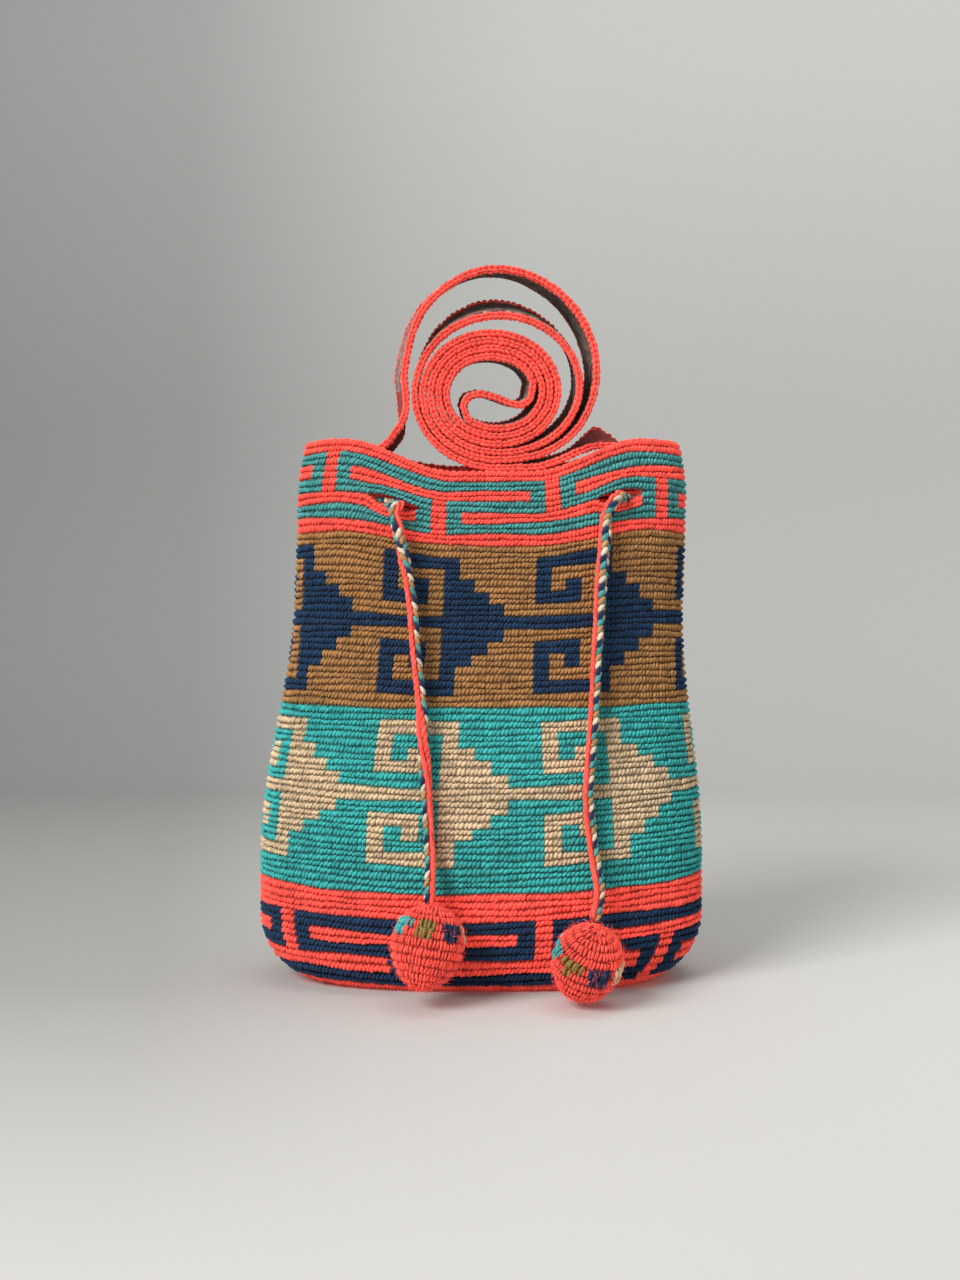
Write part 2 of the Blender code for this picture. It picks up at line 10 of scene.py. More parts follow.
import bmesh
import bpy
import numpy as np
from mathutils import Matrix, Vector


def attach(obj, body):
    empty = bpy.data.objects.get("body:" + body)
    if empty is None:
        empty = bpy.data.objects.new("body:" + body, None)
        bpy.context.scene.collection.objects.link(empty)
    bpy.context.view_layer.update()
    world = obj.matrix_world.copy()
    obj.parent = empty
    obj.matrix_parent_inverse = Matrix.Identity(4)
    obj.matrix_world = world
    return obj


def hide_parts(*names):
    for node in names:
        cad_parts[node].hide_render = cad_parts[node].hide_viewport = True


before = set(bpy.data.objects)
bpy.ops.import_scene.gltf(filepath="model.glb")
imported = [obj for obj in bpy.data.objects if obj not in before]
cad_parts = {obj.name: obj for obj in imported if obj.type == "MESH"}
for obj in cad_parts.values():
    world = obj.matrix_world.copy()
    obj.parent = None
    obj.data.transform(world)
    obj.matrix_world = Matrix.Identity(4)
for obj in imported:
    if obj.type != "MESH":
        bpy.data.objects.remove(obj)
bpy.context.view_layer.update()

# %% [markdown]
# The camera comes first, with the lights, so that every later piece can be looked at. The photograph was
# taken level, from about 60 cm, at a bit over half the bag's height.

# %% Camera, at the photograph's height and distance
CAMERA_PLACE = (-0.0005, -0.600, 0.150)
CLIP_START = 0.01
FRAME_HEIGHT_PX, FOCAL_PX, SENSOR_MM = 1280, 1333, 36.0


def put_in_scene(name, data):
    """A new object that shows the given data."""
    made = bpy.data.objects.new(name, data)
    bpy.context.scene.collection.objects.link(made)
    return made


camera = put_in_scene("camera", bpy.data.cameras.new("camera"))
camera.data.sensor_width = SENSOR_MM
camera.data.lens = SENSOR_MM * FOCAL_PX / FRAME_HEIGHT_PX
camera.data.clip_start = CLIP_START
camera.location = CAMERA_PLACE
camera.rotation_euler = (math.radians(90), 0, 0)
bpy.context.scene.camera = camera
bpy.context.scene.view_settings.view_transform = "Standard"
print("lens", round(camera.data.lens, 2), "mm")

# %% [markdown]
# Every material is a small tree of nodes. A few helpers build them: a hex colour becomes the linear
# values that shaders take, and a node is added with its settings and inputs in one line. A node that is
# given as an input stands for its first usable output.


# %% Helpers for colours and nodes
def linear(hex_colour):
    """Turn an sRGB hex colour into the linear values that shaders take."""
    values = [int(hex_colour[start:start + 2], 16) / 255 for start in (1, 3, 5)]
    values = [v / 12.92 if v <= 0.04045 else ((v + 0.055) / 1.055) ** 2.4 for v in values]
    return (*values, 1.0)


def fill(node, *values, **named):
    """Fill or link a node's inputs, in their order or by name (underscores for spaces)."""
    by_name = [(name.replace("_", " "), value) for name, value in named.items()]
    for key, value in [*enumerate(values), *by_name]:
        if isinstance(value, bpy.types.Node):
            value = next(output for output in value.outputs if output.enabled)
        if isinstance(value, bpy.types.NodeSocket):
            node.id_data.links.new(value, node.inputs[key])
        else:
            node.inputs[key].default_value = value
    return node


def add_node(tree, kind, settings=None, *values, **named):
    """Add a node, set its properties (a single word is its operation), and fill its inputs."""
    node = tree.nodes.new(kind)
    if isinstance(settings, str):
        settings = {"operation": settings}
    for name, value in (settings or {}).items():
        setattr(node, name, value)
    return fill(node, *values, **named)


def set_stops(ramp, stops):
    """Give a colour ramp its stops, each a place and a linear colour."""
    while len(ramp.elements) < len(stops):
        ramp.elements.new(0.5)
    for element, (place, colour) in zip(ramp.elements, stops):
        element.position = place
        element.color = colour


def new_material(name):
    """A new material, the function that adds nodes to it, and its shader."""
    made = bpy.data.materials.new(name)
    made.use_nodes = True
    return made, partial(add_node, made.node_tree), made.node_tree.nodes["Principled BSDF"]


print("mid grey in linear light:", round(linear("#808080")[0], 3))

# %% [markdown]
# The backdrop is a pale grey sweep: one sheet that is the floor in front and curves up behind. Its grey is
# painted lighter towards the front and darker to the left, as in the photograph, by gradients along its own
# depth and width: painted light falloff on a paper of one grey.

# %% Floor and backdrop in one sweep
SWEEP_HALF_WIDTH, SWEEP_FRONT, SWEEP_BACK, SWEEP_TURN, SWEEP_TOP = 3.0, -3.0, 1.15, 0.45, 3.2
SWEEP_STEPS = 12
# The paper is one grey: the floor, wall and wall-top greys are painted light and shade, lighter where more
# light falls
FLOOR_GREY, WALL_GREY, WALL_TOP_GREY = "#E9E7E2", "#C2C3BF", "#CFD0CC"
# Depths and heights between which one grey goes over to the next
FLOOR_TO_WALL, WALL_TO_TOP = (-0.55, 0.9), (0.35, 0.9)
# Painted light falloff: how light the paper is painted from left to right, standing in for the room's light
# that falls off to the left. The fall spreads like a fan from a point in front of the bag.
PAINTED_FALLOFF_ACROSS = ((0.0, 0.46), (0.25, 0.54), (0.42, 0.75), (0.55, 0.86), (0.80, 0.93), (1.0, 1.0))
FAN_POINT, FAN_NEAREST, FAN_REACH = 0.75, 0.2, 0.40
# In front of the bag the painted falloff is held even, at this share
EVEN_FRONT, EVEN_LIGHT = (-0.32, -0.02), (0.80, 0.80, 0.80, 1.0)


def strip_faces(count_along, count_across, closed=True):
    """Quads of a grid stored line after line, its lines closed into loops or left open."""
    faces = []
    last = count_across if closed else count_across - 1
    for line in range(count_along - 1):
        low, high = line * count_across, (line + 1) * count_across
        for column in range(last):
            after = (column + 1) % count_across
            faces.append((low + column, low + after, high + after, high + column))
    return faces


def sweep_profile():
    """The sweep's side view: floor, quarter turn, wall."""
    curve_start = SWEEP_BACK - SWEEP_TURN
    points = [(SWEEP_FRONT, 0.0), (-0.8, 0.0), (curve_start, 0.0)]
    for step in range(1, SWEEP_STEPS + 1):
        turn = math.radians(90 / SWEEP_STEPS * step)
        points.append((curve_start + SWEEP_TURN * math.sin(turn), SWEEP_TURN * (1 - math.cos(turn))))
    return points + [(SWEEP_BACK, SWEEP_TOP)]


def grey_paper():
    """Matte uncoated paper: no gloss, only soft greys painted as light falloff, and the object's shadow."""
    paper, add, shader = new_material("matte studio paper")
    x, y, z = add("ShaderNodeSeparateXYZ", None, add("ShaderNodeTexCoord").outputs["Object"]).outputs
    depth = add("ShaderNodeMapRange", None, y, *FLOOR_TO_WALL)
    grey = add("ShaderNodeMix", {"data_type": "RGBA"}, depth, A=linear(FLOOR_GREY), B=linear(WALL_GREY))
    rise = add("ShaderNodeMapRange", None, z, *WALL_TO_TOP)
    grey = add("ShaderNodeMix", {"data_type": "RGBA"}, rise, A=grey, B=linear(WALL_TOP_GREY))
    # Painted light falloff across the paper, darker to the left
    reach = add("ShaderNodeMath", "MAXIMUM", add("ShaderNodeMath", "ADD", y, FAN_POINT), FAN_NEAREST)
    sideways = add("ShaderNodeMath", "DIVIDE", x, reach)
    across = add("ShaderNodeMapRange", None, sideways, -FAN_REACH, FAN_REACH)
    fall = add("ShaderNodeValToRGB", None, across)
    set_stops(fall.color_ramp, [(place, (light, light, light, 1.0)) for place, light in PAINTED_FALLOFF_ACROSS])
    front = add("ShaderNodeMapRange", None, y, *EVEN_FRONT)
    evened = add("ShaderNodeMix", {"data_type": "RGBA"}, front, A=EVEN_LIGHT, B=fall)
    toned = add("ShaderNodeMix", {"data_type": "RGBA", "blend_type": "MULTIPLY"}, 1.0, A=grey, B=evened)
    fill(shader, Base_Color=toned, Roughness=0.9, Specular_IOR_Level=0.2)
    return paper


profile = sweep_profile()
sweep_mesh = bpy.data.meshes.new("studio_sweep")
sweep_mesh.from_pydata([(side * SWEEP_HALF_WIDTH, y, z) for y, z in profile for side in (-1, 1)], [],
                       strip_faces(len(profile), 2, closed=False))
sweep_mesh.shade_smooth()
sweep_mesh.materials.append(grey_paper())
put_in_scene("studio_sweep", sweep_mesh)
print("backdrop:", len(profile), "lines from the floor's front to the wall's top")

# %% [markdown]
# The light is soft and comes from the left and the front. One large lamp there does most of the work, a
# weak one fills the right side, one lights the wall, and an even grey world keeps the shadows open.

# %% Lamps and world
BAG_MIDDLE = (0.0, 0.0, 0.12)
# Name, place, the point that the lamp looks at, width in metres and power in watts
LAMPS = (("window_light", (-1.05, -1.18, 1.15), BAG_MIDDLE, 0.9, 34.0),
         ("right_fill", (1.3, -0.9, 0.7), BAG_MIDDLE, 1.0, 0.3),
         ("wall_light", (0.3, 0.0, 2.2), (0.6, 1.1, 0.5), 1.2, 10.0))
ROOM_GREY, ROOM_STRENGTH = "#F4F4F6", 0.55

for name, place, aim, width, power in LAMPS:
    lamp = put_in_scene(name, bpy.data.lights.new(name, "AREA"))
    lamp.data.size, lamp.data.energy = width, power
    lamp.location = place
    lamp.rotation_euler = (Vector(aim) - Vector(place)).to_track_quat("-Z", "Y").to_euler()
world = bpy.data.worlds.new("even_grey_room")
world.use_nodes = True
fill(world.node_tree.nodes["Background"], linear(ROOM_GREY), ROOM_STRENGTH)
bpy.context.scene.world = world
print("lamps:", ", ".join(lamp[0] for lamp in LAMPS))

# %% [markdown]
# Every size below is the one that the model was designed with, so that the crochet lies exactly on the
# bag's solid. The body is a turned pot that is pressed flat front to back, leaned a little and let sag at
# the mouth. A point on it is named by its stitch (round the bag, from the middle of the front) and its
# row (down from the rim), as a crocheter would count.

# %% The bag's form
CLEARANCE = 0.0003
RIM_HEIGHT, RIM_HALF_WIDTH, RIM_HALF_DEPTH, RIM_TURN_IN = 0.2380, 0.0830, 0.0260, 0.0250
NECK_HEIGHT, NECK_HALF_WIDTH, NECK_HALF_DEPTH = 0.1700, 0.0865, 0.0290
BELLY_HEIGHT, BELLY_HALF_WIDTH, BELLY_HALF_DEPTH = 0.0550, 0.0980, 0.0430
CORNER_HEIGHT, CORNER_WIDTH, CORNER_DEPTH = 0.0300, 0.0300, 0.0150
SECTION_POWER = 2.5
WALL = 0.0030


def smoothstep(low, high, value):
    """Rise from 0 to 1 between low and high, with flat ends."""
    share = np.clip((value - low) / (high - low), 0.0, 1.0)
    return share * share * (3.0 - 2.0 * share)


def outer_size(height, neck, belly, rim, corner):
    """A half size of the outer skin at a height, from its sizes at neck, belly, rim and corner."""
    height = np.asarray(height, dtype=float)
    share = np.clip((NECK_HEIGHT - height) / (NECK_HEIGHT - BELLY_HEIGHT), 0.0, 1.0)
    size = neck + (belly - neck) * 0.5 * (1.0 - np.cos(math.pi * share))
    above = np.clip((height - RIM_HEIGHT + RIM_TURN_IN) / RIM_TURN_IN, 0.0, 1.0)
    below = np.clip((CORNER_HEIGHT - height) / CORNER_HEIGHT, 0.0, 1.0)
    return size - (neck - rim) * above * above - corner * (1.0 - np.sqrt(1.0 - below * below))


def half_width(height):
    """Half the bag's width at a height."""
    return outer_size(height, NECK_HALF_WIDTH, BELLY_HALF_WIDTH, RIM_HALF_WIDTH, CORNER_WIDTH)


def half_depth(height):
    """Half the bag's depth at a height."""
    return outer_size(height, NECK_HALF_DEPTH, BELLY_HALF_DEPTH, RIM_HALF_DEPTH, CORNER_DEPTH)


def section_at(angle, wide, deep):
    """A point of a flattened round section."""
    across, along, power = np.cos(angle), np.sin(angle), 2.0 / SECTION_POWER
    return wide * np.sign(across) * np.abs(across) ** power, deep * np.sign(along) * np.abs(along) ** power


print("neck and belly width:", [round(2 * float(half_width(h)), 3) for h in (NECK_HEIGHT, BELLY_HEIGHT)])

# %% [markdown]
# Rows are counted by length down the skin and stitches by length round it, so the form needs two tables:
# the way travelled down the outline, and the section's angle at equal steps round the bag.

# %% Tables of the way down and the way round
OUTLINE_STEPS, CORNER_STEPS = 80, 25
TABLE_LINES, TABLE_STEPS, SECTION_STEPS = 90, 481, 721


def travelled_along(line):
    """The way from a line's start to each of its points."""
    return np.concatenate(([0.0], np.cumsum(np.linalg.norm(np.diff(line, axis=0), axis=1))))


def side_outline():
    """The outer skin's outline from the rim to the middle of the base."""
    straight = np.linspace(RIM_HEIGHT, CORNER_HEIGHT, OUTLINE_STEPS)
    turns = np.radians(np.linspace(0.0, 90.0, CORNER_STEPS)[1:])
    heights = np.concatenate((straight, CORNER_HEIGHT * (1.0 - np.sin(turns))))
    return np.vstack((np.column_stack((half_width(heights), heights)), [0.0, 0.0]))


OUTLINE = side_outline()
TRAVELLED = travelled_along(OUTLINE)
TABLE_DROPS = np.linspace(0.0, TRAVELLED[-2], TABLE_LINES)
TABLE_SHARES = np.linspace(0.0, 1.0, TABLE_STEPS)


def angle_table():
    """The section's angle for equal steps round the bag, one line for each of many heights."""
    lines = []
    angles = np.linspace(-0.5 * math.pi, 1.5 * math.pi, SECTION_STEPS)
    for drop in TABLE_DROPS:
        height = np.interp(drop, TRAVELLED, OUTLINE[:, 1])
        walked = travelled_along(np.column_stack(section_at(angles, half_width(height), half_depth(height))))
        lines.append(np.interp(TABLE_SHARES * walked[-1], walked, angles))
    return np.array(lines)


ANGLES = angle_table()


def section_angle(share, drop):
    """Look up the section's angle, between the table's lines and steps."""
    share = np.mod(share, 1.0) * (TABLE_STEPS - 1)
    line = np.clip(drop / TABLE_DROPS[-1], 0.0, 1.0) * (TABLE_LINES - 1)
    low_line = np.minimum(line.astype(int), TABLE_LINES - 2)
    low_share = np.minimum(share.astype(int), TABLE_STEPS - 2)
    up, right = line - low_line, share - low_share
    upper, lower = [ANGLES[line, low_share] * (1 - right) + ANGLES[line, low_share + 1] * right
                    for line in (low_line, low_line + 1)]
    return upper * (1 - up) + lower * up


print("the skin is", round(float(TRAVELLED[-1]), 3), "m long from the rim to the base's middle")

# %% [markdown]
# No handmade bag has all its rows level: the belly is worked tighter and the bottom corner looser, and
# below the waist a few stitches crowd to the front. Small tables counted off the photograph say how much.

# %% The skin by stitch and row
STITCHES_ROUND, WALL_ROWS, ROW_PITCH = 120, 82, 0.0029
SAG_FRONT, SAG_BACK = 0.0154, 0.0064
SAG_START_HEIGHT, SAG_FLAT_SHARE, SAG_END_SHARE = 0.1100, 0.20, 0.80
LEAN, LEAN_START_HEIGHT = 0.0050, 0.0500
# How many rows lower than counted a row lies
ROWS_LOWER = ((0, 0.0), (28, 0.1), (40, 0.5), (54, 0.1), (62, -0.4), (72, -0.5), (76, -0.7), (78, -0.6),
              (80, 0.5), (82, 2.0), (120, 2.0))
# Towards the belly's two sides the rows rise by so many rows, the right side a little more
SIDES_HIGHER, RIGHT_HIGHER, SIDES_ROWS = 1.35, 0.25, ((24, 0.0), (68, 1.0), (84, 1.0), (100, 0.0))
CROWDING_START_ROW, CROWDING_END_ROW = 26.0, 44.0
FRONT_CROWDING, SIDE_CROWDING = 0.0150, -0.0045
SLOPE_STEP = 0.0005
INSET_POWER = 1.5


def turn_at(stitch):
    """The way round at a stitch, as an angle."""
    return 2.0 * math.pi * np.asarray(stitch) / STITCHES_ROUND


def read_table(at, table):
    """Read a table of pairs, straight between its lines."""
    return np.interp(at, *np.array(table).T)


def round_share(stitch, row):
    """The share of the way round at a stitch: below the waist the front has a few more stitches."""
    share, turn = stitch / STITCHES_ROUND, turn_at(stitch)
    crowded = share - FRONT_CROWDING * np.sin(turn) - SIDE_CROWDING * np.sin(2.0 * turn)
    return share + (crowded - share) * smoothstep(CROWDING_START_ROW, CROWDING_END_ROW, row)


def skin(stitch, row, outward=0.0):
    """Places on the bag by stitch and row, a distance outward from its outer skin, as an array of rows."""
    stitch, row, outward = np.broadcast_arrays(*[np.asarray(v, dtype=float) for v in (stitch, row, outward)])
    sine = np.sin(turn_at(stitch))
    higher = (SIDES_HIGHER * sine ** 2 + RIGHT_HIGHER * sine) * read_table(row, SIDES_ROWS)
    lower = read_table(row, ROWS_LOWER) - higher
    drop = np.clip((row + lower) * ROW_PITCH, 0.0, TRAVELLED[-1])
    (radius, height), (ahead, low), (behind, high) = [
        [np.interp(drop + step, TRAVELLED, axis) for axis in OUTLINE.T]
        for step in (0.0, SLOPE_STEP, -SLOPE_STEP)]
    run, fall = ahead - behind, low - high
    length = np.hypot(run, fall)
    radius = np.maximum(radius - outward * fall / length, 0.0)
    height = height + outward * run / length
    wide, deep = half_width(height), half_depth(height)
    inset = np.maximum(0.0, wide - radius)
    inner_deep = np.maximum(0.0, deep + radius - wide + (wide - deep) * (inset / wide) ** INSET_POWER)
    x, y = section_at(section_angle(round_share(stitch, row), drop), radius, inner_deep)
    reach = np.abs(x) / half_width(np.maximum(height, CORNER_HEIGHT))
    middle = 1.0 - smoothstep(SAG_FLAT_SHARE, SAG_END_SHARE, reach)
    rise = np.maximum(0.0, height - SAG_START_HEIGHT) / (RIM_HEIGHT - SAG_START_HEIGHT)
    lean = LEAN * smoothstep(LEAN_START_HEIGHT, RIM_HEIGHT, height)
    sag = SAG_FRONT + (SAG_BACK - SAG_FRONT) * smoothstep(-NECK_HALF_DEPTH, NECK_HALF_DEPTH, y)
    return np.stack((x + lean, y, height - sag * middle * rise * rise), axis=-1)


print("rim at the middle of the front", skin(0, 0).round(4), "belly side", skin(30, 62).round(4))

# %% [markdown]
# The four eyelets are slits between two rows that the drawstring pulls open. The rows above and below
# bow away from the slit, so the opening is a rule that shifts the row number near each eyelet.

# %% Eyelets
EYELET_STITCHES = (-13.0, 17.0, 47.0, 77.0)
EYELET_SLIT_ROW = 8.0
EYELET_HALF_STITCHES = 3.6
EYELET_LIFT_ROWS = 0.55
EYELET_DROP_ROWS = 1.45
EYELET_FADE_ROWS = 4.0
# Rows up and down, waves round the bag, and how far each wave shifts from row to row
DRIFTS, DRIFT_FADE_ROWS = ((0.13, 4.0, 0.9), (0.08, 9.0, -1.7)), 3.0
ROWS_TO_MIDDLE = float(TRAVELLED[-1] / ROW_PITCH) - ROWS_LOWER[-1][1]


def stitches_apart(stitch, other):
    """Signed distance round the bag in stitches."""
    return np.mod(np.asarray(stitch) - other + STITCHES_ROUND / 2, STITCHES_ROUND) - STITCHES_ROUND / 2


def eyelet_opening(stitch):
    """How far open the slit is at a stitch, from 0 to 1."""
    opening = np.zeros_like(np.asarray(stitch, dtype=float))
    for middle in EYELET_STITCHES:
        reach = np.abs(stitches_apart(stitch, middle)) / EYELET_HALF_STITCHES
        opening = np.maximum(opening, np.clip(1.0 - reach * reach, 0.0, 1.0))
    return opening


def hand_drift(stitch, row):
    """How far a row wanders up and down round the bag, as rows worked by hand do."""
    turn = turn_at(stitch)
    return sum(rows * np.sin(waves * turn + shift * row) for rows, waves, shift in DRIFTS)


def bowed_row(stitch, row, above):
    """The row number after the rows near an eyelet have bowed away from it."""
    fade = smoothstep(0.0, DRIFT_FADE_ROWS, row) * smoothstep(0.0, DRIFT_FADE_ROWS, ROWS_TO_MIDDLE - row)
    row = row + hand_drift(stitch, row) * fade
    opening = eyelet_opening(stitch)
    distance = np.abs(row - EYELET_SLIT_ROW)
    fade = 1.0 - smoothstep(0.0, EYELET_FADE_ROWS, distance)
    return row + np.where(above, -EYELET_LIFT_ROWS, EYELET_DROP_ROWS) * opening * fade


print("slit open at", [float(eyelet_opening(s)) for s in (-13, 0, 17)])

# %% [markdown]
# The pattern is counted off the photograph as rules. One pattern cell is two stitches wide and two rows
# high. The hooked figure has a straight spine, a stepped triangle to its right and a hook to its left, and
# it is the same upside down. The meander band is a run of long bars broken by short upright ones.

# %% The pattern, as rules
CELL = 2
TOP_BAND, BROWN_BAND, TEAL_BAND, CORAL_BAND, LOW_BAND = 0, 7, 20, 34, 36
FIGURE_ROWS = 11
FIGURE_COLUMNS = 10
SPINE_COLUMN = 4
BROWN_FIGURE_STITCH = 6
TEAL_FIGURE_STITCH = 7
MEANDER_STITCHES = 30
TOP_MEANDER_STITCH = 7
LOW_MEANDER_STITCH = 6
BAR_STITCHES = 2


def in_hooked_figure(column, line):
    """Whether a cell of the hooked figure is worked in the figure's yarn."""
    line = min(line, FIGURE_ROWS - 1 - line)
    if line == FIGURE_ROWS // 2:
        return True
    if SPINE_COLUMN <= column <= SPINE_COLUMN + max(0, line - 1):
        return True
    hook = {0: (0, SPINE_COLUMN), 1: (0, 0), 2: (0, 0), 3: (0, 2)}.get(line)
    inner_tip = line == 2 and column == 2
    return inner_tip or (hook is not None and hook[0] <= column <= hook[1])


def in_meander(stitch, line):
    """Whether a stitch of the meander band is worked in its figure's yarn, for its five lines."""
    places = [(stitch + shift) % MEANDER_STITCHES for shift in (0, MEANDER_STITCHES // 2)]
    upper_bar, lower_bar = [place < BAR_STITCHES for place in places]
    beside_upper, beside_lower = [BAR_STITCHES <= place < 2 * BAR_STITCHES
                                  or place >= MEANDER_STITCHES - BAR_STITCHES for place in places]
    return (not upper_bar, beside_upper, not upper_bar and not lower_bar, beside_lower, not lower_bar)[line]


def yarn_at(stitch, row):
    """The yarn's name for one stitch of the wall or the base."""
    cell = row // CELL
    if TOP_BAND < cell < BROWN_BAND - 1:
        return "grey_teal" if in_meander(stitch - TOP_MEANDER_STITCH, cell - 1) else "coral"
    if LOW_BAND <= cell < LOW_BAND + 5:
        return "navy" if in_meander(stitch - LOW_MEANDER_STITCH, cell - LOW_BAND) else "coral"
    for band, end, first_stitch, figure, ground in (
            (BROWN_BAND, TEAL_BAND, BROWN_FIGURE_STITCH, "navy", "brown"),
            (TEAL_BAND, CORAL_BAND, TEAL_FIGURE_STITCH, "beige", "teal")):
        if band <= cell < end:
            line = cell - band - 1
            column = ((stitch - first_stitch) // CELL) % FIGURE_COLUMNS
            inside = 0 <= line < FIGURE_ROWS and in_hooked_figure(column, line)
            return figure if inside else ground
    return "coral"


for line in range(FIGURE_ROWS):
    print("".join("#" if in_hooked_figure(column, line) else "." for column in range(FIGURE_COLUMNS)))

# %% [markdown]
# The yarn is soft spun cotton. One function makes a yarn of any colour: fine noise for the fibres, slow
# noise for uneven dye, a small bump and some sheen for the fuzz that catches light at the edges. Each
# stitch also carries its own `shade` number, so that no two neighbours are exactly alike.

# %% Cotton yarn
# Grey teal: at the neck the coral yarn carried along inside the teal stitches shows through
YARN_COLOURS = {"coral": "#FF5A4C", "teal": "#3AADA9", "brown": "#A97A48", "navy": "#153556",
                "beige": "#D6BC98", "grey_teal": "#4A9C99"}
# Real cotton fibres are a hundredth of a millimetre thick; here they are drawn coarse enough to show
FIBRES_PER_METRE, FIBRE_CONTRAST = 1250.0, 0.36
DYE_PATCHES_PER_METRE, DYE_CONTRAST = 45.0, 0.07
STITCH_CONTRAST = 0.17
NOISE_LOW, NOISE_HIGH = 0.3, 0.7
# The coral dye is a fluorescent one; its glow is painted in as a small emission of the yarn's own, so it gives
# back a little more light than it gets
CORAL_PAINTED_GLOW = 0.14


def cotton(name, hex_colour, depth=1.0, painted_glow=0.0):
    """Spun cotton of one colour: `depth` under 1 darkens it, as painted shade, for the yarn that lies behind
    the stitches.
    """
    material, add, shader = new_material(name)
    place = add("ShaderNodeTexCoord").outputs["Object"]
    fibres = add("ShaderNodeTexNoise", None, place, Scale=FIBRES_PER_METRE, Detail=3.0, Roughness=0.6)
    dye = add("ShaderNodeTexNoise", None, place, Scale=DYE_PATCHES_PER_METRE, Detail=2.0)
    shade = add("ShaderNodeAttribute", {"attribute_name": "shade"})
    fibre_light, dye_light = [
        add("ShaderNodeMapRange", None, noise, NOISE_LOW, NOISE_HIGH, -contrast, contrast)
        for noise, contrast in ((fibres, FIBRE_CONTRAST), (dye, DYE_CONTRAST))]
    own_light = add("ShaderNodeMath", "MULTIPLY", shade.outputs["Fac"], STITCH_CONTRAST)
    light = add("ShaderNodeMath", "ADD", fibre_light, dye_light)
    for more in (own_light, 1.0):
        light = add("ShaderNodeMath", "ADD", light, more)
    colour = [value * depth for value in linear(hex_colour)[:3]]
    dyed = add("ShaderNodeVectorMath", "SCALE", colour, Scale=light)
    bump = add("ShaderNodeBump", None, Height=fibres, Strength=0.8, Distance=0.0006)
    fill(shader, Base_Color=dyed, Normal=bump, Roughness=0.88, Specular_IOR_Level=0.18, Sheen_Weight=0.10,
         Sheen_Roughness=0.5)
    # Painted glow: the yarn emits its own colour, whatever the lamps do
    if painted_glow:
        fill(shader, Emission_Color=dyed, Emission_Strength=painted_glow)
    return material


YARNS = {name: cotton(name + "_crocheted_cotton", colour, painted_glow=CORAL_PAINTED_GLOW if name == "coral" else 0.0)
         for name, colour in YARN_COLOURS.items()}
print("yarns:", ", ".join(YARNS))

# %% [markdown]
# A mesh helper comes next. It takes plain rows of numbers, so the same few lines serve every piece. It
# merges doubled points, and turns a closed mesh the right way round if its volume comes out negative.

# %% Mesh helper
DOUBLE_DISTANCE, SHORTEST_EDGE = 1e-6, 1e-7


def mesh_object(name, points, faces, materials=(), slots=None, spots=None):
    """A new object from points and faces, with each face's material slot and each point's UV place."""
    mesh = bpy.data.meshes.new(name)
    mesh.from_pydata([tuple(point) for point in points], [], [tuple(face) for face in faces])
    if slots:
        mesh.polygons.foreach_set("material_index", slots)
    if spots:
        layer = mesh.uv_layers.new(name="band")
        for loop in mesh.loops:
            layer.data[loop.index].uv = spots[loop.vertex_index]
    bm = bmesh.new()
    bm.from_mesh(mesh)
    bmesh.ops.remove_doubles(bm, verts=bm.verts, dist=DOUBLE_DISTANCE)
    bmesh.ops.dissolve_degenerate(bm, edges=bm.edges, dist=SHORTEST_EDGE)
    if bm.calc_volume(signed=True) < 0:
        bmesh.ops.reverse_faces(bm, faces=bm.faces)
    bm.to_mesh(mesh)
    bm.free()
    mesh.shade_smooth()
    for material in materials:
        mesh.materials.append(material)
    return put_in_scene(name, mesh)


# %% [markdown]
# Behind the stitches lies a closed shell: the yarn's own thickness seen between the stitches, and the inside
# of the bag. Its yarns are painted darker, as painted shade between the stitches and inside the bag. It is
# built in two parts, above and below the eyelets' slits, that share their edge wherever the slit is closed.

# %% Bag shell
SHELL_OUTER = -0.0009
SHELL_COLUMNS = 240
# Share of each yarn's colour on the shell: painted shade between the stitches and inside the bag
PAINTED_SHADE_BEHIND_DEPTH = 0.45
BASE_LINES = 16
rows_above = np.arange(EYELET_SLIT_ROW + 1)
rows_below = np.concatenate((np.arange(EYELET_SLIT_ROW, WALL_ROWS),
                             np.linspace(WALL_ROWS, ROWS_TO_MIDDLE, BASE_LINES)))
shell_stitches = np.arange(SHELL_COLUMNS) * STITCHES_ROUND / SHELL_COLUMNS
is_open = eyelet_opening(shell_stitches) > 0
shell_points, shell_faces, shell_yarns = [], [], []

for rows, above in ((rows_above, True), (rows_below, False)):
    bowed = bowed_row(shell_stitches[:, None], rows[None, :], above)
    outer, inner = [skin(shell_stitches[:, None], bowed, depth) for depth in (SHELL_OUTER, -WALL)]
    first, steps, turn_step = len(shell_points), 2 * len(rows), len(rows) - 1
    shell_points += np.concatenate((outer, inner[:, ::-1]), axis=1).reshape(-1, 3).tolist()
    slit_step = turn_step if above else steps - 1
    for column in range(SHELL_COLUMNS):
        beside = (column + 1) % SHELL_COLUMNS
        here, there = first + column * steps, first + beside * steps
        for step in range(steps):
            base_turn = step == turn_step and not above
            slit_is_shut = step == slit_step and not (is_open[column] or is_open[beside])
            if base_turn or slit_is_shut:
                continue
            after = (step + 1) % steps
            shell_faces.append((here + step, here + after, there + after, there + step))
            row = int(rows[0]) + min(step, steps - 1 - step)
            yarn_name = yarn_at(int(shell_stitches[column]), min(row, WALL_ROWS))
            shell_yarns.append(list(YARNS).index(yarn_name))
# Darker copies of every yarn, as painted shade, for the shell and the cores
behind = [cotton(name + "_crocheted_cotton_behind", colour, PAINTED_SHADE_BEHIND_DEPTH)
          for name, colour in YARN_COLOURS.items()]
coral_painted_shade_behind = behind[0]
bag_shell = mesh_object("bag_shell", shell_points, shell_faces, behind, shell_yarns)
print("bag shell:", len(bag_shell.data.polygons), "faces")

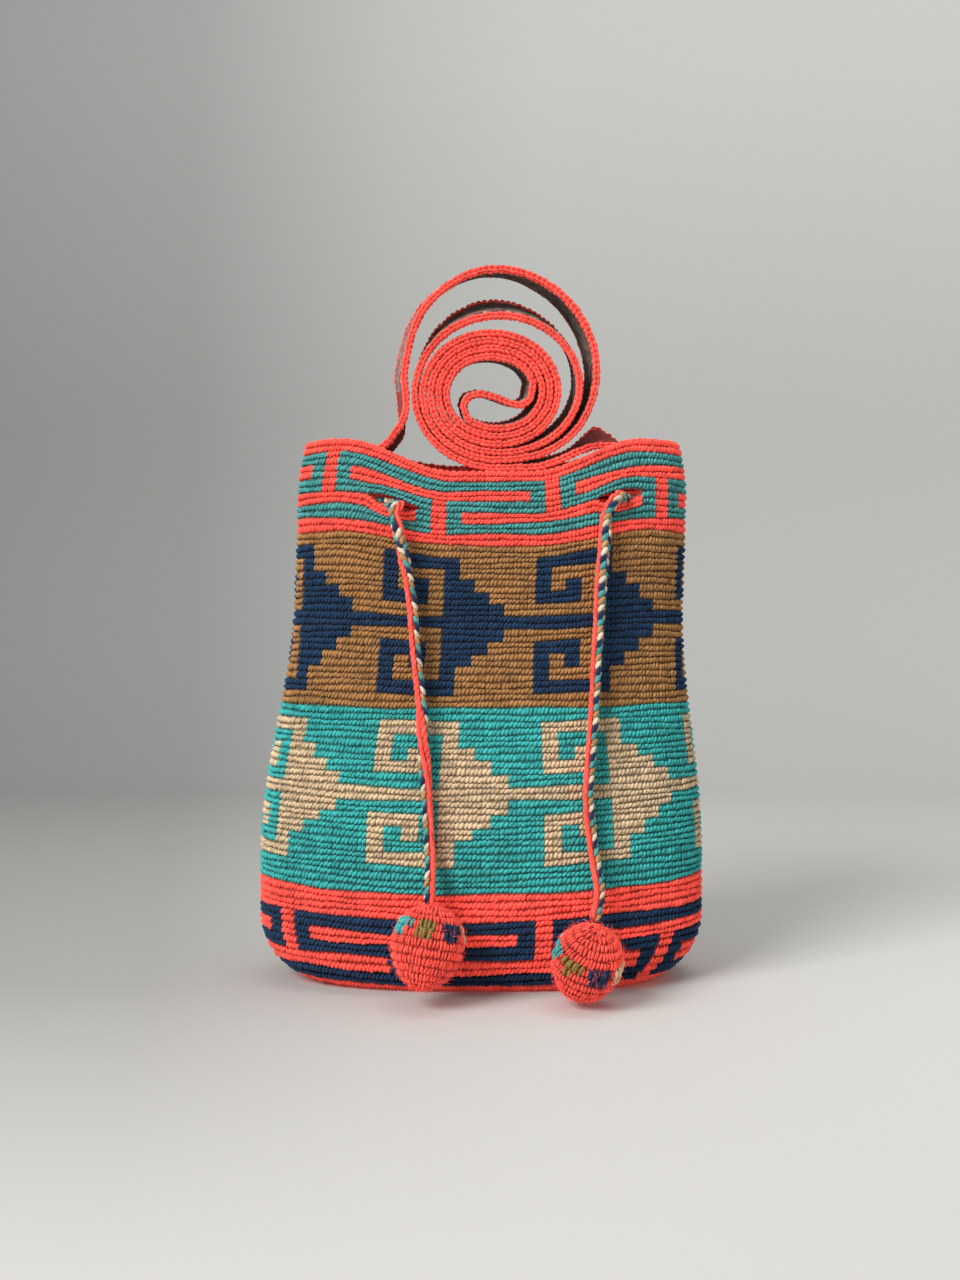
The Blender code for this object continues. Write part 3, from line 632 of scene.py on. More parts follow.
# %% [markdown]
# One crochet stitch shows as two yarn strands that lean to the right. It is made once, at its real size,
# and Geometry Nodes set a copy on every place. A place is a single point that carries three vectors: the
# way outward, the way along the row, and the size. The copies get a small seeded wobble, as from a hand.

# %% One stitch
STITCH_WIDTH = 0.0035
LEG_SIDES = 4


def metres(millimetres):
    """Numbers given in millimetres, as an array in metres."""
    return np.array(millimetres, dtype=float) / 1000


def strand_shape(name, paths, half_widths, depth_share):
    """An object of one or more strands with pointed ends, given in millimetres, to be repeated."""
    points, faces = [], []
    half_widths = metres(half_widths)
    for path in metres(paths):
        start = len(points)
        points.append(path[0])
        for index, half_width in enumerate(half_widths, start=1):
            run = path[index + 1] - path[index - 1]
            across = np.array((run[1], -run[0], 0.0)) / np.hypot(run[0], run[1])
            lift = np.array((0.0, 0.0, half_width * depth_share))
            for side in range(LEG_SIDES):
                turn = 2 * math.pi * side / LEG_SIDES
                points.append(path[index] + across * half_width * math.cos(turn) + lift * math.sin(turn))
        points.append(path[-1])
        for side in range(LEG_SIDES):
            after = (side + 1) % LEG_SIDES
            faces.append((start, start + 1 + after, start + 1 + side))
            for low in range(start + 1, len(points) - 1 - LEG_SIDES, LEG_SIDES):
                faces.append((low + side, low + after, low + LEG_SIDES + after, low + LEG_SIDES + side))
            low = len(points) - 1 - LEG_SIDES
            faces.append((low + side, low + after, len(points) - 1))
    return mesh_object(name, points, faces)


stitch_legs = (
    ((-2.05, -1.25, -0.8), (-1.6, -0.85, -0.1), (-0.8, 0.1, 0.2), (-0.1, 0.95, -0.1), (0.2, 1.45, -0.8)),
    ((-0.3, -1.45, -0.8), (0.1, -1.0, -0.1), (0.9, -0.1, 0.2), (1.6, 0.75, -0.1), (2.0, 1.15, -0.8)))
wall_stitch = strand_shape("wall_stitch", stitch_legs, (0.64, 0.96, 0.64), 0.95)
print("one stitch:", len(wall_stitch.data.polygons), "faces")

# %% [markdown]
# The tree that repeats a stitch turns each point into a copy of it. Three random vectors wobble its turn,
# its size and its place, each with a seed of its own, and a fourth random number is the copy's shade.

# %% The tree that repeats a stitch
PLACE_VECTORS = ("outward", "along", "size")
TREE_INPUTS = (("Stitch", "Object"), ("Yarn", "Material"), ("Seed", "Int"), ("Turn wobble", "Float"),
               ("Size wobble", "Float"), ("Place wobble", "Float"))
SIZE_SEED, SHADE_SEED, PLACE_SEED = 7, 13, 19


def scatter_tree():
    """Geometry Nodes: a copy of a stitch on every point, turned, sized, wobbled and joined."""
    tree = bpy.data.node_groups.new("stitch_on_every_point", "GeometryNodeTree")
    for way in ("OUTPUT", "INPUT"):
        tree.interface.new_socket("Geometry", in_out=way, socket_type="NodeSocketGeometry")
    for label, kind in TREE_INPUTS:
        tree.interface.new_socket(label, in_out="INPUT", socket_type="NodeSocket" + kind)
    add = partial(add_node, tree)
    given = add("NodeGroupInput").outputs
    outward, along, size = [add("GeometryNodeInputNamedAttribute", {"data_type": "FLOAT_VECTOR"}, label)
                            for label in PLACE_VECTORS]

    def wobble(amount, middle, seed_step):
        """A random vector as far as the amount to either side of the middle, with its own seed."""
        low, high = [add("ShaderNodeMath", way, middle, given[amount]) for way in ("SUBTRACT", "ADD")]
        seed = add("FunctionNodeIntegerMath", "ADD", given["Seed"], seed_step)
        return add("FunctionNodeRandomValue", {"data_type": "FLOAT_VECTOR"}, low, high, Seed=seed)

    points = add("GeometryNodeMeshToPoints", None, given["Geometry"])
    placed = add("GeometryNodeSetPosition", None, points, Offset=wobble("Place wobble", 0.0, PLACE_SEED))
    facing = add("FunctionNodeAxesToRotation", {"primary_axis": "Z", "secondary_axis": "X"}, outward, along)
    turned = add("FunctionNodeRotateRotation", {"rotation_space": "LOCAL"}, facing,
                 wobble("Turn wobble", 0.0, 0))
    sized = add("ShaderNodeVectorMath", "MULTIPLY", size, wobble("Size wobble", 1.0, SIZE_SEED))
    shape = add("GeometryNodeObjectInfo", None, given["Stitch"]).outputs["Geometry"]
    copies = add("GeometryNodeInstanceOnPoints", None, placed, Instance=shape, Rotation=turned, Scale=sized)
    shade_seed = add("FunctionNodeIntegerMath", "ADD", given["Seed"], SHADE_SEED)
    shade = add("FunctionNodeRandomValue", {"data_type": "FLOAT"}, Min=-1.0, Max=1.0, Seed=shade_seed)
    stored = add("GeometryNodeStoreNamedAttribute", {"data_type": "FLOAT", "domain": "INSTANCE"}, copies,
                 Name="shade", Value=shade)
    real = add("GeometryNodeRealizeInstances", None, stored)
    dyed = add("GeometryNodeSetMaterial", None, real, Material=given["Yarn"])
    add("NodeGroupOutput", None, dyed)
    return tree


SCATTER = scatter_tree()
print("tree inputs:", [item.name for item in SCATTER.interface.items_tree if item.in_out == "INPUT"])

# %% [markdown]
# The places of the stitches follow from the pattern's rules: one loop over rows and stitches sorts every
# place by yarn. Down on the base the rows become rings that need fewer and fewer stitches.

# %% Stitches by yarn
STITCH_SINK = 0.0003
SMALLEST_STITCH, LARGEST_STITCH = 0.25, 1.5
PLACE_WOBBLE = 0.00016
RING_STITCHES_LOST = STITCHES_ROUND / (ROWS_TO_MIDDLE - WALL_ROWS)


def stitch_places():
    """The stitch and row number of every stitch of wall and base, sorted by yarn."""
    places = {name: [] for name in YARNS}
    for row in range(WALL_ROWS):
        for stitch in range(STITCHES_ROUND):
            places[yarn_at(stitch, row)].append((stitch + 0.5, row + 0.5, STITCHES_ROUND))
    for ring in range(int(ROWS_TO_MIDDLE) - WALL_ROWS):
        count = round(STITCHES_ROUND - RING_STITCHES_LOST * ring)
        for step in range(count):
            places["coral"].append(((step + 0.5) * STITCHES_ROUND / count, WALL_ROWS + ring + 0.5, count))
    return {name: np.array(rows) for name, rows in places.items()}


def unit(vectors):
    """Vectors shortened to length one."""
    return vectors / np.maximum(np.linalg.norm(vectors, axis=1, keepdims=True), 1e-9)


def wall_stitches(places, outward_side=1.0, depth=0.0):
    """Place, way outward, way along the row and size of stitches, from their stitch and row numbers."""
    stitch, row, count = places.T
    above = row < EYELET_SLIT_ROW
    step = STITCHES_ROUND / count

    def at(stitch_shift, row_shift, outward):
        """The skin beside a stitch, with the eyelets' bow."""
        moved = stitch + stitch_shift * step
        return skin(moved, bowed_row(moved, row + row_shift, above), outward)

    middle = at(0.0, 0.0, depth)
    across = at(0.5, 0.0, depth) - at(-0.5, 0.0, depth)
    up = at(0.0, -0.5, depth) - at(0.0, 0.5, depth)
    along = unit(across)
    outward = unit(np.cross(along, up)) * outward_side
    size = np.column_stack((np.linalg.norm(across, axis=1) / STITCH_WIDTH,
                            np.linalg.norm(up, axis=1) / ROW_PITCH, np.ones(len(stitch))))
    return middle, outward, along * outward_side, np.clip(size, SMALLEST_STITCH, LARGEST_STITCH)


print("the base's rings lose", round(RING_STITCHES_LOST, 2), "stitches each")

# %% [markdown]
# The tree runs on a mesh of bare points. Its result is copied to a plain mesh at once, and the points and
# their modifier are thrown away.


# %% Set the stitches
def set_stitches(name, numbers, shape, yarn, seed, turn_wobble=0.13, size_wobble=0.11):
    """Run the tree on one set of places and keep the result as a plain mesh."""
    middle, *vectors = numbers
    mesh = bpy.data.meshes.new(name + "_places")
    mesh.from_pydata([tuple(point) for point in middle], [], [])
    for label, values in zip(PLACE_VECTORS, vectors):
        attribute = mesh.attributes.new(label, "FLOAT_VECTOR", "POINT")
        attribute.data.foreach_set("vector", np.ascontiguousarray(values, dtype=np.float32).ravel())
    holder = put_in_scene(name + "_places", mesh)
    modifier = holder.modifiers.new("stitches", "NODES")
    modifier.node_group = SCATTER
    wanted = {"Stitch": shape, "Yarn": yarn, "Seed": seed, "Turn wobble": turn_wobble,
              "Size wobble": size_wobble, "Place wobble": PLACE_WOBBLE}
    for item in SCATTER.interface.items_tree:
        if item.in_out == "INPUT" and item.name in wanted:
            modifier[item.identifier] = wanted[item.name]
    holder.update_tag()
    grown = holder.evaluated_get(bpy.context.evaluated_depsgraph_get())
    plain = bpy.data.meshes.new_from_object(grown)
    bpy.data.objects.remove(holder)
    plain.name = name
    plain.shade_smooth()
    plain.materials.clear()
    plain.materials.append(yarn)
    plain.calc_loop_triangles()
    print(name, len(middle), "stitches,", len(plain.loop_triangles), "triangles")
    return put_in_scene(name, plain)


wall_pieces = []
for seed, (yarn_name, places) in enumerate(stitch_places().items(), start=1):
    numbers = wall_stitches(places, depth=-STITCH_SINK)
    wall_pieces.append(set_stitches(yarn_name + "_stitches", numbers, wall_stitch, YARNS[yarn_name], seed))

# %% [markdown]
# The strap is one woven band, 1.15 m long, rolled up from both ends into a double spiral that lies on the
# mouth. Its course is rule-made: each arm of the spiral grows by one layer for every half turn, and the
# loose outer turns stand off by a table. The front and the back edge have courses of their own, because
# the band twists a little where it is loose.

# %% The strap's sizes and tables
STRAP_WIDTH, STRAP_THICKNESS = 0.0520, 0.0031
ROLL_MIDDLE_X, ROLL_INNER_RADIUS, ROLL_OVALNESS = 0.0057, 0.01555, 0.00175
ROLL_BACK_SHIFT_X, ROLL_BACK_RISE = -0.0020, 0.0090
STEP_DEGREES = 5
SAMPLES_PER_SPAN, CORD_SAMPLES_PER_SPAN = 5, 12
ARM_A_DEGREES, ARM_B_DEGREES = 1080, 990
ARM_A_RULE_START, ARM_B_RULE_START = 45, 15
END_HALF_WIDTH = 0.0065

# Degrees along the arm, and the millimetres by which the front and the back edge stand off the spiral
ARM_A_SLACK = ((0, 0, 0), (810, 0, 0), (828, 0.3, 0.3), (845, 1.8, 1.8), (870, 5, 6), (900, 8.9, 10.9),
               (930, 14, 15), (960, 19, 20), (990, 21, 23), (1025, 14, 16.7), (1055, 4.8, 8.2),
               (1080, 0.6, 4.5))
ARM_B_SLACK = ((0, 0, 0), (630, 0, 0), (665, 1.2, 1.2), (690, 3.4, 4.4), (720, 5.8, 8.5), (776, 5.6, 12.1),
               (810, 4.2, 12.5), (845, 2.2, 6.9), (880, 0.4, 0.6), (905, 0, 0), (990, 0, 0))

# Chosen from the photograph, in millimetres: x and height of the front edge, then of the back edge
S_BEND = ((-12.2, -9.6, -12.2, -9.6), (-13.1, -5, -13.1, -5), (-10.5, -1.5, -10.5, -1.5),
          (-5, -0.7, -5, -0.7), (1, -2.3, 1, -2.3), (7, -4.6, 7, -4.6), (11.8, -5.4, 11.8, -5.4),
          (15.5, -3, 15.5, -3))
END_A = ((-32.4, 251.5, -37.8, 260), (-33.1, 247, -37.2, 253), (-35.2, 242.5, -37.2, 246.6),
         (-40.5, 236.6, -40.8, 239.6), (-47, 232.5, -47, 234.2), (-58, 230.5, -58, 230.8),
         (-68, 230, -68, 230), (-73.8, 230, -73.8, 230))
END_B = ((15, 224.5, 14, 233.6), (25, 225, 24, 234), (35, 228.3, 34, 235.2), (43, 232, 42.5, 239),
         (49, 234.5, 48.6, 244.5), (56, 235, 53.7, 248.2), (61.5, 234, 59.2, 244), (67, 232, 64.7, 237.5),
         (75, 230.3, 74.5, 231.5), (83.8, 230, 83.8, 230))


print("the roll turns", ARM_A_DEGREES // 360, "and", ARM_B_DEGREES / 360, "times")

# %% [markdown]
# The course is put together from its parts: one sewn end, one arm of the spiral inwards, the S bend in the
# middle, the other arm outwards and the other sewn end. Tables and listed points become smooth curves.


# %% The strap's course from end to end
def through_points(points, samples_per_span):
    """A smooth curve through a list of points, ends included."""
    rows = [np.array(point, dtype=float) for point in points]
    rows = [2 * rows[0] - rows[1]] + rows + [2 * rows[-1] - rows[-2]]
    curve = []
    for before, start, end, after in zip(rows, rows[1:], rows[2:], rows[3:]):
        for step in range(samples_per_span):
            t = step / samples_per_span
            bend = (2 * before - 5 * start + 4 * end - after) * t * t
            twist = (3 * start - before - 3 * end + after) * t ** 3
            curve.append(0.5 * (2 * start + (end - before) * t + bend + twist))
    curve.append(rows[-2])
    return np.array(curve)


def evenly_spaced(curve, count):
    """The same curve with a given number of points at equal steps."""
    travelled = travelled_along(curve)
    wanted = np.linspace(0.0, travelled[-1], count)
    return np.column_stack([np.interp(wanted, travelled, axis) for axis in curve.T])


def smooth_value(at, table, column):
    """Read a column of a table between its lines, with smooth turns and never below zero."""
    lines = np.array(table, dtype=float)
    places, values = lines[:, 0], metres(lines[:, column])
    slopes = np.gradient(values, places)
    low = int(np.clip(np.searchsorted(places, at) - 1, 0, len(places) - 2))
    step = places[low + 1] - places[low]
    t = (at - places[low]) / step
    level = (1 + 2 * t) * (1 - t) ** 2 * values[low] + t * t * (3 - 2 * t) * values[low + 1]
    return max(0.0, level + step * t * (1 - t) * ((1 - t) * slopes[low] - t * slopes[low + 1]))


def arm_radius(degrees, angle):
    """Radius of an arm of the double spiral after it has turned so far outward."""
    pitch = STRAP_THICKNESS + CLEARANCE
    return ROLL_INNER_RADIUS + ROLL_OVALNESS * math.cos(2 * angle) + pitch * degrees / 180


ROLL_MIDDLE_Z = (RIM_HEIGHT - SAG_FRONT + CLEARANCE + 0.5 * STRAP_THICKNESS
                 + arm_radius(ARM_B_DEGREES, 1.5 * math.pi))


# The roll's middle at the front edge and at the back edge
ROLL_MIDDLES = np.array((ROLL_MIDDLE_X, ROLL_MIDDLE_Z,
                         ROLL_MIDDLE_X + ROLL_BACK_SHIFT_X, ROLL_MIDDLE_Z + ROLL_BACK_RISE))


def arm_points(first, last, phase, slack):
    """One arm of the spiral, as rows of front x, front z, back x and back z."""
    rows = []
    for degrees in np.linspace(first, last, round((last - first) / STEP_DEGREES) + 1):
        angle = math.radians(phase + degrees)
        front, back = [arm_radius(degrees, angle) + smooth_value(degrees, slack, column) for column in (1, 2)]
        way = np.array((math.cos(angle), math.sin(angle)))
        rows.append([*(ROLL_MIDDLES[:2] + front * way), *(ROLL_MIDDLES[2:] + back * way)])
    return rows


def hand_points(points, shift=0.0):
    """Listed points, made smooth and shifted."""
    return (through_points(metres(points), SAMPLES_PER_SPAN) + shift).tolist()


arm_a = arm_points(ARM_A_RULE_START, ARM_A_DEGREES, 180, ARM_A_SLACK)
arm_b = arm_points(ARM_B_RULE_START, ARM_B_DEGREES, 0, ARM_B_SLACK)
s_bend = hand_points(S_BEND, ROLL_MIDDLES)
course = np.array(hand_points(END_A)[::-1] + arm_a[::-1] + s_bend + arm_b + hand_points(END_B))
# The strap's length is the mean of its two edges' lengths
course_steps = 0.5 * sum(np.hypot(*np.diff(edge, axis=0).T) for edge in (course[:, :2], course[:, 2:]))
STRAP_LENGTH = float(course_steps.sum())
print("strap length", round(STRAP_LENGTH, 3), "m from", len(course), "points")

# %% [markdown]
# The band lies flat over its width, except where it goes down between the rims: there it is gathered to
# fit the mouth. It is built as one closed mesh with a UV map that runs along and across it, in metres, so
# the weave follows the band round every turn. Its coral borders are thinner, to make room for the chain.

# %% The woven band
BAND_THICKNESS = 0.0028
BORDER_THICKNESS = 0.0014
BORDER_WIDTH = 0.0044
BORDER_STEP = 0.0004
BAND_COLUMNS, BAND_LINES = 15, 620
EDGE_SHARE = 0.02
SHARP_EDGE_DEGREES = 50
# Near its two sewn ends the band is plain coral, painted dark as painted shade
SEWN_END = 0.060
GATHER_START, GATHER_END = 1.2, 3.5
MOUTH_INNER_SHARE, MOUTH_OUTER_SHARE = 0.42, 0.52


def strap_half_widths(x, height, side):
    """The strap's half width on one side, gathered where it goes down between the rims."""
    full = 0.5 * STRAP_WIDTH
    reach = np.abs(x - LEAN)
    middle = 1.0 - smoothstep(SAG_FLAT_SHARE, SAG_END_SHARE, reach / RIM_HALF_WIDTH)
    to_back = smoothstep(-NECK_HALF_DEPTH, NECK_HALF_DEPTH, side * RIM_HALF_DEPTH)
    sag = SAG_FRONT + (SAG_BACK - SAG_FRONT) * to_back
    rim = RIM_HEIGHT - sag * middle
    sunk = 1.0 - smoothstep(rim + GATHER_START * STRAP_THICKNESS, rim + GATHER_END * STRAP_THICKNESS, height)
    outside = smoothstep(MOUTH_INNER_SHARE, MOUTH_OUTER_SHARE, reach / RIM_HALF_WIDTH)
    share = np.minimum(0.999, reach / (RIM_HALF_WIDTH - WALL))
    room = (RIM_HALF_DEPTH - WALL) * (1.0 - share ** SECTION_POWER) ** (1.0 / SECTION_POWER) - 2 * CLEARANCE
    gathered = np.maximum(END_HALF_WIDTH, np.minimum(full, room))
    return full + (gathered - full) * sunk * outside


def edge_course(count):
    """The two edges of the strap at equal steps: places, ways along and ways out of the band's face."""
    travelled = np.concatenate(([0.0], np.cumsum(course_steps)))
    wanted = np.linspace(0.0, travelled[-1], count)
    edges = []
    for side, first in ((-1.0, 0), (1.0, 2)):
        x, z = [np.interp(wanted, travelled, course[:, first + axis]) for axis in (0, 1)]
        y = side * strap_half_widths(x, z, side)
        along = unit(np.column_stack((np.gradient(x), np.zeros(count), np.gradient(z))))
        face_way = np.column_stack((-along[:, 2], np.zeros(count), along[:, 0]))
        edges.append((np.column_stack((x, y, z)), along, face_way))
    return wanted, edges


def capped_faces(lines, corners):
    """Faces of a tube of so many closed lines, with a flat cap on either end."""
    last = (lines - 1) * corners
    return strip_faces(lines, corners) + [tuple(range(corners))[::-1], tuple(range(last, last + corners))]


def build_band(weave, border, sewn_end):
    """The band between its edges, thin and closed, with its length and width as a UV map."""
    wanted, ((front, _, front_way), (back, _, back_way)) = edge_course(BAND_LINES)
    shares = np.linspace(0.0, 1.0, BAND_COLUMNS)
    border_share, step_share = BORDER_WIDTH / STRAP_WIDTH, BORDER_STEP / STRAP_WIDTH
    shares = np.concatenate(([EDGE_SHARE, border_share - step_share, border_share], shares[2:-2],
                             [1.0 - border_share, 1.0 - border_share + step_share, 1.0 - EDGE_SHARE]))
    is_border = np.minimum(shares, 1.0 - shares) < border_share - 0.5 * step_share
    thickness = np.where(is_border, BORDER_THICKNESS, BAND_THICKNESS)
    points, spots = [], []
    for index in range(BAND_LINES):
        for facing, line, thick in ((1.0, shares, thickness), (-1.0, shares[::-1], thickness[::-1])):
            for share, depth in zip(line, thick):
                middle = front[index] * (1 - share) + back[index] * share
                way = front_way[index] * (1 - share) + back_way[index] * share
                points.append(middle + 0.5 * facing * depth * way)
                spots.append((wanted[index], share * STRAP_WIDTH))
    faces = capped_faces(BAND_LINES, 2 * len(shares))
    slots = []
    for face in faces:
        along, across = spots[face[0]][0], [spots[corner][1] for corner in face[:4]]
        on_border = any(min(place, STRAP_WIDTH - place) < 0.9 * BORDER_WIDTH for place in across)
        near_end = min(along, wanted[-1] - along) < SEWN_END
        slots.append(1 if on_border else 2 if near_end else 0)
    band = mesh_object("strap_band", points, faces, (weave, border, sewn_end), slots, spots)
    band.data.set_sharp_from_angle(angle=math.radians(SHARP_EDGE_DEGREES))
    return band


print("the band is", round(1000 * STRAP_WIDTH), "mm wide and", 1000 * BAND_THICKNESS, "mm thick")

# %% [markdown]
# The weave is dark warp with flecks: narrow columns run lengthwise, and each short piece of a column takes
# its yarn at random from a fixed set. Every second column is shifted by half a piece, as bricks are.
# Rounding the UV place down to a cell gives every piece one number.

# %% Woven cotton of the strap
WEAVE_COLUMN, WEAVE_PIECE, COLUMN_BIAS = 0.0011, 0.0022, 0.35
# Share of the coral on the strap's borders: painted shade between the chain stitches
PAINTED_SHADE_BETWEEN_DEPTH = 0.62
FLECKS = ((0.0, "#6B3E37"), (0.38, "#8E6157"), (0.56, "#A3958C"), (0.66, "#BBA285"), (0.72, "#45888A"),
          (0.78, "#D5C6AD"), (0.86, "#2F4257"))
# The sewn ends are coral yarn; these dark coral pieces are painted shade
SHADED_CORAL_PIECES = ((0.0, "#7E2A23"), (0.35, "#97342B"), (0.65, "#AE3E34"))


def woven(name, yarn_pieces):
    """Warp-faced cotton band: each piece of a column takes one of the given yarns, columns having a bias."""
    material, add, shader = new_material(name)
    spot = add("ShaderNodeUVMap", {"uv_map": "band"})
    along, across, _ = add("ShaderNodeSeparateXYZ", None, spot).outputs
    number = add("ShaderNodeMath", "FLOOR", add("ShaderNodeMath", "DIVIDE", across, WEAVE_COLUMN))
    shift = add("ShaderNodeMath", "MULTIPLY_ADD", number, 0.5 * WEAVE_PIECE, along)
    bricks = add("ShaderNodeCombineXYZ", None, shift, across)
    cell = add("ShaderNodeVectorMath", "SNAP", bricks, (WEAVE_PIECE, WEAVE_COLUMN, 1.0))
    own_chance = add("ShaderNodeTexWhiteNoise", None, cell)
    column = add("ShaderNodeSeparateXYZ", None, cell).outputs["Y"]
    column_chance = add("ShaderNodeTexWhiteNoise", {"noise_dimensions": "1D"}, W=column)
    chance = add("ShaderNodeMix", None, COLUMN_BIAS, A=own_chance, B=column_chance)
    colour = add("ShaderNodeValToRGB", None, chance)
    colour.color_ramp.interpolation = "CONSTANT"
    set_stops(colour.color_ramp, [(place, linear(hex_colour)) for place, hex_colour in yarn_pieces])
    ribs, picks = [
        add("ShaderNodeTexWave", {"bands_direction": way}, where, Scale=math.pi / (10 * size), Distortion=0.3)
        for way, where, size in (("Y", spot, WEAVE_COLUMN), ("X", bricks, WEAVE_PIECE))]
    height = add("ShaderNodeMath", "ADD", ribs.outputs["Fac"], picks.outputs["Fac"])
    bump = add("ShaderNodeBump", None, Height=height, Strength=0.7, Distance=0.0005)
    fill(shader, Base_Color=colour, Normal=bump, Roughness=0.9, Specular_IOR_Level=0.15, Sheen_Weight=0.1)
    return material


# The band's borders take coral painted darker, as painted shade between the chain stitches
painted_shade_between_stitches = cotton("coral_between_stitches", YARN_COLOURS["coral"], PAINTED_SHADE_BETWEEN_DEPTH)
# The sewn ends take the dark coral pieces: painted shade
strap_band = build_band(woven("flecked_woven_cotton", FLECKS), painted_shade_between_stitches,
                        woven("coral_woven_cotton_painted_shade", SHADED_CORAL_PIECES))
print("band:", len(strap_band.data.polygons), "faces")

# %% [markdown]
# Each edge of the strap is bound with chain stitch: a row of V's on the edge itself and a row on either
# face. The same tree sets them, with a second stitch shape whose two strands meet in a point.

# %% Chain stitches along the strap's edges
CHAIN_PITCH = 0.0024
EDGE_CHAIN_SINK, FACE_CHAIN_INSET, FACE_CHAIN_LIFT, FACE_CHAIN_SIZE = 0.0008, 0.0030, 0.00095, 0.95
v_half = [(-1.12, 1.9, -0.8), (-0.98, 1.0, -0.1), (-0.7, 0.0, 0.2), (-0.48, -0.9, 0.0), (-0.3, -1.7, -0.8)]
other_half = [(-x, y, z) for x, y, z in v_half]
chain_stitch = strand_shape("chain_stitch", [v_half, other_half], (0.50, 0.60, 0.52), 0.9)


def chain_places():
    """Places of the chain stitches: on both edges of the strap, and beside them on both faces."""
    rows = []
    _, edges = edge_course(round(STRAP_LENGTH / CHAIN_PITCH))
    for side, (edge, along, face_way) in zip((-1.0, 1.0), edges):
        sideways = np.zeros_like(edge)
        sideways[:, 1] = side
        rows.append((edge - EDGE_CHAIN_SINK * sideways, sideways, along, 1.0))
        for facing in (1.0, -1.0):
            place = edge - FACE_CHAIN_INSET * sideways + facing * FACE_CHAIN_LIFT * face_way
            rows.append((place, facing * face_way, along, FACE_CHAIN_SIZE))
    middle, outward, along = [np.concatenate([row[axis] for row in rows]) for axis in range(3)]
    along = np.cross(along, outward)
    size = np.concatenate([np.full((len(row[0]), 3), row[3]) for row in rows])
    return middle, outward, unit(along), size


strap_edges = set_stitches("strap_edges", chain_places(), chain_stitch, YARNS["coral"], 21,
                           turn_wobble=0.10, size_wobble=0.10)

# %% [markdown]
# The rim is finished with the same chain, laid round the top of the bag's wall, and the inside of the
# mouth shows the backs of the stitches.

# %% Rim and inside rows
RIM_CHAIN_COUNT, RIM_CHAIN_SIZE, RIM_CHAIN_SINK = 132, 1.15, 0.0002
INSIDE_ROWS = 14


def rim_places():
    """Chain stitches lying along the top of the wall."""
    stitch = np.arange(RIM_CHAIN_COUNT) * STITCHES_ROUND / RIM_CHAIN_COUNT
    middle = skin(stitch, 0.0, -0.5 * WALL) - (0.0, 0.0, RIM_CHAIN_SINK)
    ahead, behind = [skin(stitch + shift, 0.0, -0.5 * WALL) for shift in (0.5, -0.5)]
    run = unit(ahead - behind)
    across = unit(np.cross(run, (0.0, 0.0, 1.0)))
    outward = unit(np.cross(across, run))
    size = np.full((RIM_CHAIN_COUNT, 3), RIM_CHAIN_SIZE)
    return middle, outward, across, size


rim_chain = set_stitches("rim_chain", rim_places(), chain_stitch, YARNS["coral"], 31,
                         turn_wobble=0.12, size_wobble=0.10)
inside = np.array([(stitch + 0.5, row + 0.5, STITCHES_ROUND) for row in range(INSIDE_ROWS)
                   for stitch in range(STITCHES_ROUND)])
inside_numbers = wall_stitches(inside, outward_side=-1.0, depth=STITCH_SINK - WALL)
inside_stitches = set_stitches("inside_stitches", inside_numbers, wall_stitch, YARNS["coral"], 41)

# %% [markdown]
# The drawstring is a round braid, one half coral and one half in four yarns that follow each other down the
# cord. It is one cord from ball to ball: in through one front eyelet, round inside the neck, out at the back,
# and home through the other. Its course is a smooth curve through listed places.

# %% The drawstring's course
CORD_DIAMETER, CORD_ROOM, CORD_LENGTH = 0.0058, 0.0017, 0.634
RIDGE_HEIGHT, CORD_ROW = 0.0005, 8.6
FRONT_ENTRY, FRONT_SLANT, EYELET_REACH, RUN_START = 1.6, 0.6, 3.1, 7.0
BALL_HALF_HEIGHT = 0.0170
LEFT_TAIL = metres(((-37.2, -34.5, 204), (-33.7, -34.7, 190), (-29.7, -35.3, 167), (-27.8, -37.2, 145),
             (-25.2, -40.5, 122), (-24, -43, 104), (-22.6, -45.2, 84), (-21.4, -47, 64), (-21, -52, 51)))
RIGHT_TAIL = metres(((54, -30.3, 204), (52.6, -31.5, 192), (50.6, -32.8, 168), (49.2, -34.8, 146),
              (47.8, -37.5, 124.5), (46, -41.2, 103.5), (44.6, -43.5, 84), (46.4, -45, 64), (48.8, -49, 46)))
LEFT_BALL, RIGHT_BALL = metres(((-21.9, -58, 25), (43, -58, 18.6)))
CORD_STEPS = 276


def neck_route():
    """The drawstring round the neck: inside at the left and right, outside along the back."""
    inside = -(WALL + CORD_ROOM + 0.5 * CORD_DIAMETER)
    outside = RIDGE_HEIGHT + CORD_ROOM + 0.5 * CORD_DIAMETER
    through = -0.5 * WALL
    front_left = EYELET_STITCHES[0]
    front_right, back_right, back_left = [stitch - STITCHES_ROUND for stitch in EYELET_STITCHES[1:]]
    stops = [(front_left + FRONT_ENTRY, outside), (front_left - FRONT_SLANT, through)]
    stops += [(front_left - EYELET_REACH, inside)]
    stops += [(stitch, inside) for stitch in np.linspace(front_left - RUN_START, back_left + RUN_START, 5)]
    stops += [(back_left + EYELET_REACH, inside), (back_left, through), (back_left - EYELET_REACH, outside)]
    stops += [(stitch, outside) for stitch in np.linspace(back_left - RUN_START, back_right + RUN_START, 4)]
    stops += [(back_right + EYELET_REACH, outside), (back_right, through), (back_right - EYELET_REACH, inside)]
    stops += [(stitch, inside) for stitch in np.linspace(back_right - RUN_START, front_right + RUN_START, 5)]
    stops += [(front_right + EYELET_REACH, inside), (front_right + FRONT_SLANT, through)]
    stops += [(front_right - FRONT_ENTRY, outside)]
    return [tuple(skin(stitch, CORD_ROW, outward)) for stitch, outward in stops]


def tail_end(middle, tail):
    """Where a tail meets the top of its ball."""
    way = Vector(tail[-1]) - Vector(middle)
    return tuple(Vector(middle) + (BALL_HALF_HEIGHT + CLEARANCE) * way.normalized())


